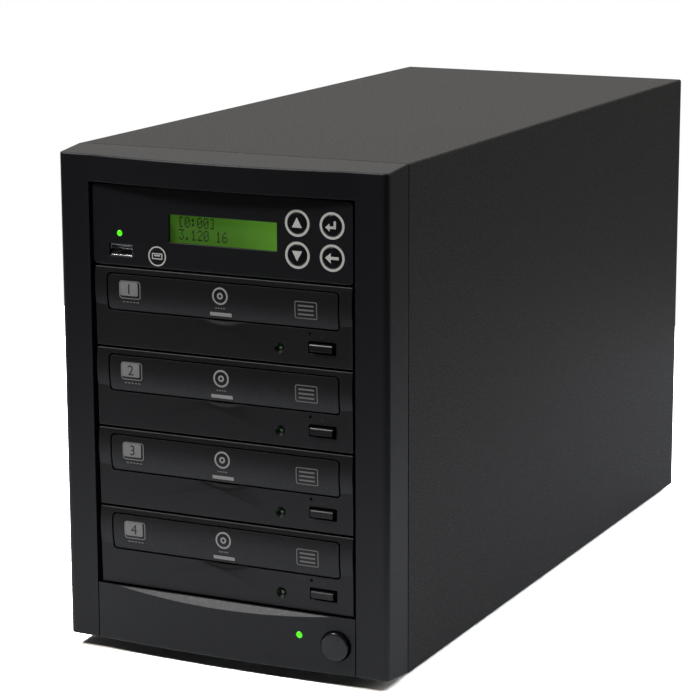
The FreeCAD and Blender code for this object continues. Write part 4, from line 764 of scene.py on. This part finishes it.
class Repeat:
    """A node tree that sets one shape on many points."""

    def __init__(self, name, **sizes):
        self.tree = bpy.data.node_groups.new(name, "GeometryNodeTree")
        face = self.tree.interface
        face.new_socket("Points", in_out="INPUT", socket_type="NodeSocketGeometry")
        face.new_socket("Geometry", in_out="OUTPUT", socket_type="NodeSocketGeometry")
        self.sizes = sizes
        self.keys = {}
        for size in sizes:
            socket = face.new_socket(size, in_out="INPUT", socket_type="NodeSocketFloat")
            self.keys[size] = socket.identifier
        self.inlet = self.tree.nodes.new("NodeGroupInput")
        self.outlet = self.tree.nodes.new("NodeGroupOutput")

    def node(self, kind, sources=None, **settings):
        """A node with attributes set and its inputs fed by (socket key, source or value)."""
        made = self.tree.nodes.new(kind)
        for attribute, value in settings.items():
            setattr(made, attribute, value)
        for key, source in (sources or {}).items():
            if isinstance(source, bpy.types.NodeSocket):
                self.tree.links.new(source, made.inputs[key])
            else:
                made.inputs[key].default_value = source
        return made

    def size(self, name):
        return self.inlet.outputs[name]

    def math(self, operation, first, second):
        return self.node("ShaderNodeMath", {0: first, 1: second}, operation=operation).outputs[0]

    def share(self, name, factor):
        """A size times a factor."""
        return self.math("MULTIPLY", self.size(name), factor)

    def vector(self, x=0.0, y=0.0, z=0.0):
        return self.node("ShaderNodeCombineXYZ", {"X": x, "Y": y, "Z": z}).outputs[0]

    def block(self, x, y, z):
        return self.node("GeometryNodeMeshCube", {"Size": self.vector(x, y, z)}).outputs[0]

    def moved(self, shape, **change):
        """A shape with a Translation, Rotation or Scale."""
        return self.node("GeometryNodeTransform", {"Geometry": shape, **change}).outputs[0]

    def joined(self, shapes):
        made = self.node("GeometryNodeJoinGeometry")
        for shape in shapes:
            self.tree.links.new(shape, made.inputs[0])
        return made.outputs[0]

    def cut(self, shape, tool):
        """A shape with the room of a tool taken out."""
        sources = {"Mesh 1": shape, "Mesh 2": tool}
        made = self.node("GeometryNodeMeshBoolean", sources, operation="DIFFERENCE", solver="MANIFOLD")
        return made.outputs["Mesh"]

    def fused(self, first, second):
        made = self.node("GeometryNodeMeshBoolean", {"Mesh 2": first}, operation="UNION", solver="MANIFOLD")
        self.tree.links.new(second, made.inputs["Mesh 2"])
        return made.outputs["Mesh"]

    def finish(self, shape, material):
        """Puts the shape on the points as plain geometry in one material."""
        sources = {"Points": self.inlet.outputs["Points"], "Instance": shape}
        spread = self.node("GeometryNodeInstanceOnPoints", sources)
        solid = self.node("GeometryNodeRealizeInstances", {"Geometry": spread.outputs[0]})
        done = self.node("GeometryNodeSetMaterial", {"Geometry": solid.outputs[0], "Material": material})
        self.tree.links.new(done.outputs[0], self.outlet.inputs["Geometry"])

    def made(self, name, points, material):
        """The finished piece on a list of points."""
        mesh = bpy.data.meshes.new(name)
        mesh.from_pydata([tuple(p) for p in points], [], [])
        maker = new_object(name + "_maker", mesh)
        modifier = maker.modifiers.new("repeat", "NODES")
        modifier.node_group = self.tree
        for size, value in self.sizes.items():
            modifier[self.keys[size]] = value
        return baked(name, maker, material)


RING_SIDES = 64
QUARTER_TURN = math.pi / 2


def flat_ring(outer, inner, height, material):
    """A flat ring that faces the front, on each point."""
    rings = Repeat("flat_rings", Outer=outer, Inner=inner, Height=height)
    outlines = []
    for size in ("Outer", "Inner"):
        sources = {"Resolution": RING_SIDES, "Radius": rings.size(size)}
        outlines.append(rings.node("GeometryNodeCurvePrimitiveCircle", sources).outputs[0])
    sheet = rings.node("GeometryNodeFillCurve", {"Curve": rings.joined(outlines)}).outputs[0]
    sources = {"Mesh": sheet, "Offset Scale": rings.size("Height"), "Individual": False}
    lifted = rings.node("GeometryNodeExtrudeMesh", sources).outputs[0]
    under = rings.node("GeometryNodeFlipFaces", {"Mesh": sheet}).outputs[0]
    sources = {"Geometry": rings.joined((lifted, under)), "Distance": WELD}
    welded = rings.node("GeometryNodeMergeByDistance", sources).outputs[0]
    rings.finish(rings.moved(welded, Rotation=(QUARTER_TURN, 0.0, 0.0)), material)
    return rings


def display_dots(width, height, depth, material):
    """Small upright plates, one for each dark dot of the display."""
    dots = Repeat("display_dots", Width=width, Height=height, Depth=depth)
    plate = dots.block(dots.size("Width"), dots.size("Depth"), dots.size("Height"))
    dots.finish(plate, material)
    return dots


HEAD_SEGMENTS, HEAD_RINGS = 32, 16
SHANK_SIDES = 24
# Shares of the head's radius: the block that takes off the ball's lower half, and the
# arms of the cross
BLOCK_SHARE = 2.4
BLOCK_DROP = -0.5
ARM_SHARE = 1.15
SLIT_SHARE = 0.27
# Shares of the head's rise and of the shank's reach
SLIT_LIFT = 0.95
SHANK_DROP = -0.499


def cross_screws(radius, rise, shank, reach, material):
    """Domed pan heads with a cross recess and a plain shank, facing the rear."""
    screws = Repeat("cross_screws", Radius=radius, Rise=rise, Shank=shank, Reach=reach)
    size, share = screws.size, screws.share
    sources = {"Segments": HEAD_SEGMENTS, "Rings": HEAD_RINGS, "Radius": size("Radius")}
    ball = screws.node("GeometryNodeMeshUVSphere", sources).outputs[0]
    crown = screws.math("DIVIDE", size("Rise"), size("Radius"))
    dome = screws.moved(ball, Scale=screws.vector(1.0, 1.0, crown))
    wide = share("Radius", BLOCK_SHARE)
    block = screws.block(wide, wide, size("Radius"))
    under = screws.moved(block, Translation=screws.vector(z=share("Radius", BLOCK_DROP)))
    sources = {"Vertices": SHANK_SIDES, "Radius": size("Shank"), "Depth": size("Reach")}
    pin = screws.node("GeometryNodeMeshCylinder", sources).outputs["Mesh"]
    stem = screws.moved(pin, Translation=screws.vector(z=share("Reach", SHANK_DROP)))
    head = screws.cut(dome, under)
    arm, slit = share("Radius", ARM_SHARE), share("Radius", SLIT_SHARE)
    lift = screws.vector(z=share("Rise", SLIT_LIFT))
    for length, width in ((arm, slit), (slit, arm)):
        slot = screws.block(length, width, size("Rise"))
        head = screws.cut(head, screws.moved(slot, Translation=lift))
    whole = screws.fused(head, stem)
    screws.finish(screws.moved(whole, Rotation=(-QUARTER_TURN, 0.0, 0.0)), material)
    return screws


# Control panel: rings, frames and tiles as on the drives, key signs from a key's middle

KEY_NODES = {"up": "up_button", "down": "down_button", "enter": "enter_button", "back": "back_button"}
KEY_RING = (6.85, 5.6)
PORT_RING = (5.2, 4.5)
PORT_SIGN_X = -37.0
PORT_SIGN_Z = 6.3
PORT_FRAME = (6.2, 3.2, 0.5, 0.55)
PORT_TONGUE = (3.6, 0.7, 0.1)
PORT_TONGUE_RISE = 0.35
KEY_SIGNS = {
    "up": [polygon((-2.8, -2.2), (2.8, -2.2), (0.0, 3.0))],
    "down": [polygon((-2.8, 2.2), (0.0, -3.0), (2.8, 2.2))],
    "enter": [polygon((2.3, 2.4), (2.3, -1.5), (-1.2, -1.5), (-1.2, -2.9), (-3.6, -0.85),
                      (-1.2, 1.2), (-1.2, -0.2), (1.1, -0.2), (1.1, 2.4))],
    "back": [polygon((3.7, -0.75), (-0.6, -0.75), (-0.6, -2.6), (-3.8, 0.0),
                     (-0.6, 2.6), (-0.6, 0.75), (3.7, 0.75))],
}


def panel_rings():
    """White rings round the four keys, and a smaller one for the port sign."""
    keys = [middle(node) for node in KEY_NODES.values()]
    port = Vector((PORT_SIGN_X * MM, FACE_Y, PANEL_LOW.z + PORT_SIGN_Z * MM))
    for name, (outer, inner), places in (("key_rings", KEY_RING, keys), ("port_ring", PORT_RING, [port])):
        tree = flat_ring(outer * MM, inner * MM, 2 * INK_RISE * MM, LOOK["white_ink"])
        piece = tree.made(name, [(place.x, FACE_Y, place.z) for place in places], LOOK["white_ink"])
        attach(piece, "chassis")


def key_signs():
    """Light arrows on the key caps."""
    for key, outlines in KEY_SIGNS.items():
        node = KEY_NODES[key]
        place = middle(node)
        printed(key + "_sign", outlines, node, key + "_key", "white_ink", place.z, left=place.x,
                axes=(ACROSS, UPWARD))


def port_sign():
    """A plain socket sign in the ring beside the port."""
    x, z = PORT_SIGN_X, PORT_SIGN_Z
    marks = [frame_tile(x, z, *PORT_FRAME), tile(x, z + PORT_TONGUE_RISE, *PORT_TONGUE)]
    printed("port_sign", marks, "control_panel", "chassis", "white_ink", PANEL_LOW.z)


# Display, in millimetres: pitches and sizes across and down, and the place of the first
# dot from the seen part of the window

DISPLAY_LINES = ("[0:00]", "3.120 16")
CHARACTER_PITCH = 3.6
LINE_PITCH = 6.5
DOT_PITCH = (0.6, 0.79)
DOT_SIZE = (0.55, 0.73)
DOT_DEPTH = 0.1
WINDOW_SEEN = 62.0
TEXT_LEFT = 4.4
TEXT_DROP = 1.5
FIGURES = {
    "0": "01110 10001 10011 10101 11001 10001 01110",
    "1": "00100 01100 00100 00100 00100 00100 01110",
    "2": "01110 10001 00001 00010 00100 01000 11111",
    "3": "11111 00010 00100 00010 00001 10001 01110",
    "6": "00110 01000 10000 11110 10001 10001 01110",
    "[": "01110 01000 01000 01000 01000 01000 01110",
    "]": "01110 00010 00010 00010 00010 00010 01110",
    ":": "00000 01100 01100 00000 01100 01100 00000",
    ".": "00000 00000 00000 00000 00000 01100 01100",
}


def display_text():
    """Dark dots of two lines of figures on the lit display."""
    low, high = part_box("display_window")
    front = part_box("display_module")[0].y
    rim = ((high.x - low.x) / MM - WINDOW_SEEN) / 2
    left = low.x / MM + rim + TEXT_LEFT
    top = high.z / MM - rim - TEXT_DROP
    points = []
    for row, line in enumerate(DISPLAY_LINES):
        for column, figure in enumerate(line):
            for down, bits in enumerate(FIGURES.get(figure, "").split()):
                for across, bit in enumerate(bits):
                    if bit == "1":
                        x = left + column * CHARACTER_PITCH + across * DOT_PITCH[0]
                        z = top - row * LINE_PITCH - down * DOT_PITCH[1]
                        points.append((x * MM, front, z * MM))
    dots = display_dots(DOT_SIZE[0] * MM, DOT_SIZE[1] * MM, DOT_DEPTH * MM, LOOK["segment"])
    piece = dots.made("display_text", points, LOOK["segment"])
    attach(piece, "chassis")


# Rear screws, in millimetres

SCREW_RISE = 2.0
SCREW_SHANK = 1.9
SCREW_REACH = 5.9
SORT_DIGITS = 5


def islands(node):
    """Boxes of a node's separate solids, as (lowest, highest) corners."""
    mesh = bmesh.new()
    mesh.from_mesh(NODES[node].data)
    bmesh.ops.remove_doubles(mesh, verts=mesh.verts, dist=WELD)
    left = set(mesh.verts)
    boxes = []
    while left:
        seed = left.pop()
        group, queue = [seed], [seed]
        while queue:
            for edge in queue.pop().link_edges:
                for vertex in edge.verts:
                    if vertex in left:
                        left.remove(vertex)
                        group.append(vertex)
                        queue.append(vertex)
        low = Vector([min(v.co[i] for v in group) for i in range(3)])
        high = Vector([max(v.co[i] for v in group) for i in range(3)])
        boxes.append((low, high))
    mesh.free()
    return sorted(boxes, key=lambda box: tuple(round(c, SORT_DIGITS) for c in box[0]))


def rear_screws(node):
    """Cross-recessed screws in place of the plain ones."""
    boxes = islands(node)
    radius = (boxes[0][1].x - boxes[0][0].x) / 2
    spots = [((low.x + high.x) / 2, high.y - SCREW_RISE * MM, (low.z + high.z) / 2) for low, high in boxes]
    tree = cross_screws(radius, SCREW_RISE * MM, SCREW_SHANK * MM, SCREW_REACH * MM, LOOK["screw"])
    piece = tree.made(node + "_crossed", spots, LOOK["screw"])
    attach(piece, "chassis")
    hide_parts(node)


# Studio

# The side that the white backdrop is on, where it starts to fade, and its strength as light
# and in mirrors, behind the object and in front of it
BACKDROP_FACING = (-0.5, 0.85, 0.15)
BACKDROP_FADE = 0.35
BACKDROP_TONE = (1.0, 0.975, 0.94, 1.0)
WHITE = (1.0, 1.0, 1.0, 1.0)
LIGHT_FROM_BACK = 0.42
LIGHT_FROM_FRONT = 0.01
MIRRORED_BACK = 0.9
MIRRORED_FRONT = 0.0


def mixed(tree, factor, first, second, kind="FLOAT"):
    """A number or colour that goes from the first to the second, each a socket or a value."""
    made = tree.nodes.new("ShaderNodeMix")
    made.data_type = kind
    sockets = [socket for socket in made.inputs if socket.enabled]
    for socket, source in zip(sockets, (factor, first, second)):
        if isinstance(source, bpy.types.NodeSocket):
            tree.links.new(source, socket)
        else:
            socket.default_value = source
    return next(socket for socket in made.outputs if socket.enabled)


def larger(tree, first, second):
    """The larger of two numbers."""
    made = tree.nodes.new("ShaderNodeMath")
    made.operation = "MAXIMUM"
    tree.links.new(first, made.inputs[0])
    tree.links.new(second, made.inputs[1])
    return made.outputs[0]


def mirrored_rays(tree, path):
    """One for rays that mirrors and clear pieces send out."""
    return larger(tree, path.outputs["Is Glossy Ray"], path.outputs["Is Transmission Ray"])


def studio_world():
    """A white backdrop behind and to the left, seen by the camera and in mirrors.

    The room in front of the object is dark.
    """
    world = bpy.data.worlds.new("studio")
    bpy.context.scene.world = world
    world.use_nodes = True
    tree = world.node_tree
    shade = tree.nodes["Background"]
    coords = tree.nodes.new("ShaderNodeTexCoord")
    facing = tree.nodes.new("ShaderNodeVectorMath")
    facing.operation = "DOT_PRODUCT"
    facing.inputs[1].default_value = BACKDROP_FACING
    tree.links.new(coords.outputs["Generated"], facing.inputs[0])
    depth = tree.nodes.new("ShaderNodeMapRange")
    depth.interpolation_type = "SMOOTHSTEP"
    depth.inputs["From Min"].default_value = BACKDROP_FADE
    tree.links.new(facing.outputs["Value"], depth.inputs["Value"])
    back = depth.outputs["Result"]
    path = tree.nodes.new("ShaderNodeLightPath")
    light = mixed(tree, back, LIGHT_FROM_FRONT, LIGHT_FROM_BACK)
    mirrored = mixed(tree, back, MIRRORED_FRONT, MIRRORED_BACK)
    strength = mixed(tree, mirrored_rays(tree, path), light, mirrored)
    seen = path.outputs["Is Camera Ray"]
    tree.links.new(mixed(tree, seen, strength, 1.0), shade.inputs["Strength"])
    tree.links.new(mixed(tree, seen, BACKDROP_TONE, WHITE, "RGBA"), shade.inputs["Color"])


# The floor's colour as light, to the camera, under the object (a painted shadow) and in
# mirrors; the inset and fade of the painted shadow under the object in millimetres; and its
# reach past the object in metres
FLOOR_COLOR = (0.6, 0.6, 0.6, 1.0)
FLOOR_SEEN = (5.0, 5.0, 5.0, 1.0)
# Painted shadow: the floor's colour to the camera under the object
FLOOR_PAINTED_SHADOW = (0.9, 0.86, 0.8, 1.0)
FLOOR_MIRRORED = (1.21, 1.25, 1.34, 1.0)
FLOOR_PAINTED_SHADOW_INSET = 6.0
FLOOR_PAINTED_SHADOW_FADE = 3.0
FLOOR_LEFT = 0.5
FLOOR_RIGHT = 0.22
FLOOR_AHEAD = 0.29
FLOOR_BEHIND = 0.5


def beside_object(tree):
    """Goes from nought on the floor under the object, where a shadow is painted, to one beside it."""
    low, high = CAD_BOX
    place = tree.nodes.new("ShaderNodeTexCoord").outputs["Object"]
    steps = (("SUBTRACT", (low + high) / 2), ("ABSOLUTE", None), ("SUBTRACT", (high - low) / 2))
    for operation, value in steps:
        made = tree.nodes.new("ShaderNodeVectorMath")
        made.operation = operation
        tree.links.new(place, made.inputs[0])
        if value:
            made.inputs[1].default_value = value
        place = made.outputs["Vector"]
    axes = tree.nodes.new("ShaderNodeSeparateXYZ")
    tree.links.new(place, axes.inputs["Vector"])
    fade = tree.nodes.new("ShaderNodeMapRange")
    fade.inputs["From Min"].default_value = -FLOOR_PAINTED_SHADOW_INSET * MM
    fade.inputs["From Max"].default_value = (FLOOR_PAINTED_SHADOW_FADE - FLOOR_PAINTED_SHADOW_INSET) * MM
    tree.links.new(larger(tree, axes.outputs["X"], axes.outputs["Y"]), fade.inputs["Value"])
    return fade.outputs["Result"]


def studio_floor():
    """A white table top, a little larger than the object, with its contact shadow and a painted shadow
    under the object.
    """
    low, high = CAD_BOX
    left, right = low.x - FLOOR_LEFT, high.x + FLOOR_RIGHT
    front, back = low.y - FLOOR_AHEAD, high.y + FLOOR_BEHIND
    mesh = bpy.data.meshes.new("floor")
    corners = [(left, front, 0), (right, front, 0), (right, back, 0), (left, back, 0)]
    mesh.from_pydata(corners, [], [(0, 1, 2, 3)])
    floor = new_object("floor", mesh)
    material = bpy.data.materials.new("floor_white")
    material.use_nodes = True
    tree = material.node_tree
    tree.nodes.remove(tree.nodes["Principled BSDF"])
    path = tree.nodes.new("ShaderNodeLightPath")
    shade = tree.nodes.new("ShaderNodeBsdfDiffuse")
    tone = mixed(tree, mirrored_rays(tree, path), FLOOR_COLOR, FLOOR_MIRRORED, "RGBA")
    # Painted shadow: the floor is darker to the camera under the object than beside it
    white = mixed(tree, beside_object(tree), FLOOR_PAINTED_SHADOW, FLOOR_SEEN, "RGBA")
    seen = mixed(tree, path.outputs["Is Camera Ray"], tone, white, "RGBA")
    tree.links.new(seen, shade.inputs["Color"])
    tree.links.new(shade.outputs[0], tree.nodes["Material Output"].inputs["Surface"])
    mesh.materials.append(material)


# Area lamps: name, place, aim and size in metres, power in watts
SOFTBOXES = (
    ("overhead_box", (0.25, 0.35, 1.6), (0.25, 0.35, 0.0), (1.6, 1.2), 16.0),
    ("front_box", (-0.88, -1.1, 1.68), (0.0, -0.2, 0.05), (0.45, 0.45), 52.0),
    ("right_box", (1.6, 0.4, 0.8), (0.1, 0.1, 0.1), (1.0, 1.0), 14.0),
)


def studio_lights():
    for name, at, aim, size, power in SOFTBOXES:
        light = bpy.data.lights.new(name, "AREA")
        light.shape = "RECTANGLE"
        light.size, light.size_y = size
        light.energy = power
        lamp = new_object(name, light)
        lamp.location = at
        lamp.rotation_mode = "QUATERNION"
        lamp.rotation_quaternion = (Vector(aim) - Vector(at)).to_track_quat("-Z", "Y")


def photo_camera():
    """The camera at the photograph's place, turned by its small roll."""
    offset = Vector((0.0, FACE_Y, COVER_LOW.z))
    at = Vector(CAMERA_AT) * MM + offset
    aim = Vector(CAMERA_AIM) * MM + offset
    back = (at - aim).normalized()
    right = Vector((0.0, 0.0, 1.0)).cross(back).normalized()
    up = back.cross(right)
    c, s = math.cos(CAMERA_ROLL), math.sin(CAMERA_ROLL)
    turned_right = right * c + up * s
    turned_up = up * c - right * s
    data = bpy.data.cameras.new("photo_camera")
    data.sensor_width = CAMERA_SENSOR
    data.lens = CAMERA_LENS
    data.clip_start, data.clip_end = CAMERA_CLIP
    camera = new_object("photo_camera", data)
    rows = Matrix((turned_right, turned_up, back)).transposed().to_4x4()
    camera.matrix_world = Matrix.Translation(at) @ rows
    bpy.context.scene.camera = camera


bpy.context.scene.view_settings.view_transform = "Standard"
finish_solids()
parted_cover()
eased_lower_panel()
widened_panel()
recast("power_button", "power_key", "button", weld=BUTTON_WELD)
for drive in DRIVES:
    crowned_drive(drive)
    narrow_eject_cap(drive)
    drive_marks(drive)
panel_rings()
key_signs()
port_sign()
display_text()
rear_screws("cover_screws")
rear_screws("module_screws")
photo_camera()
studio_world()
studio_floor()
studio_lights()
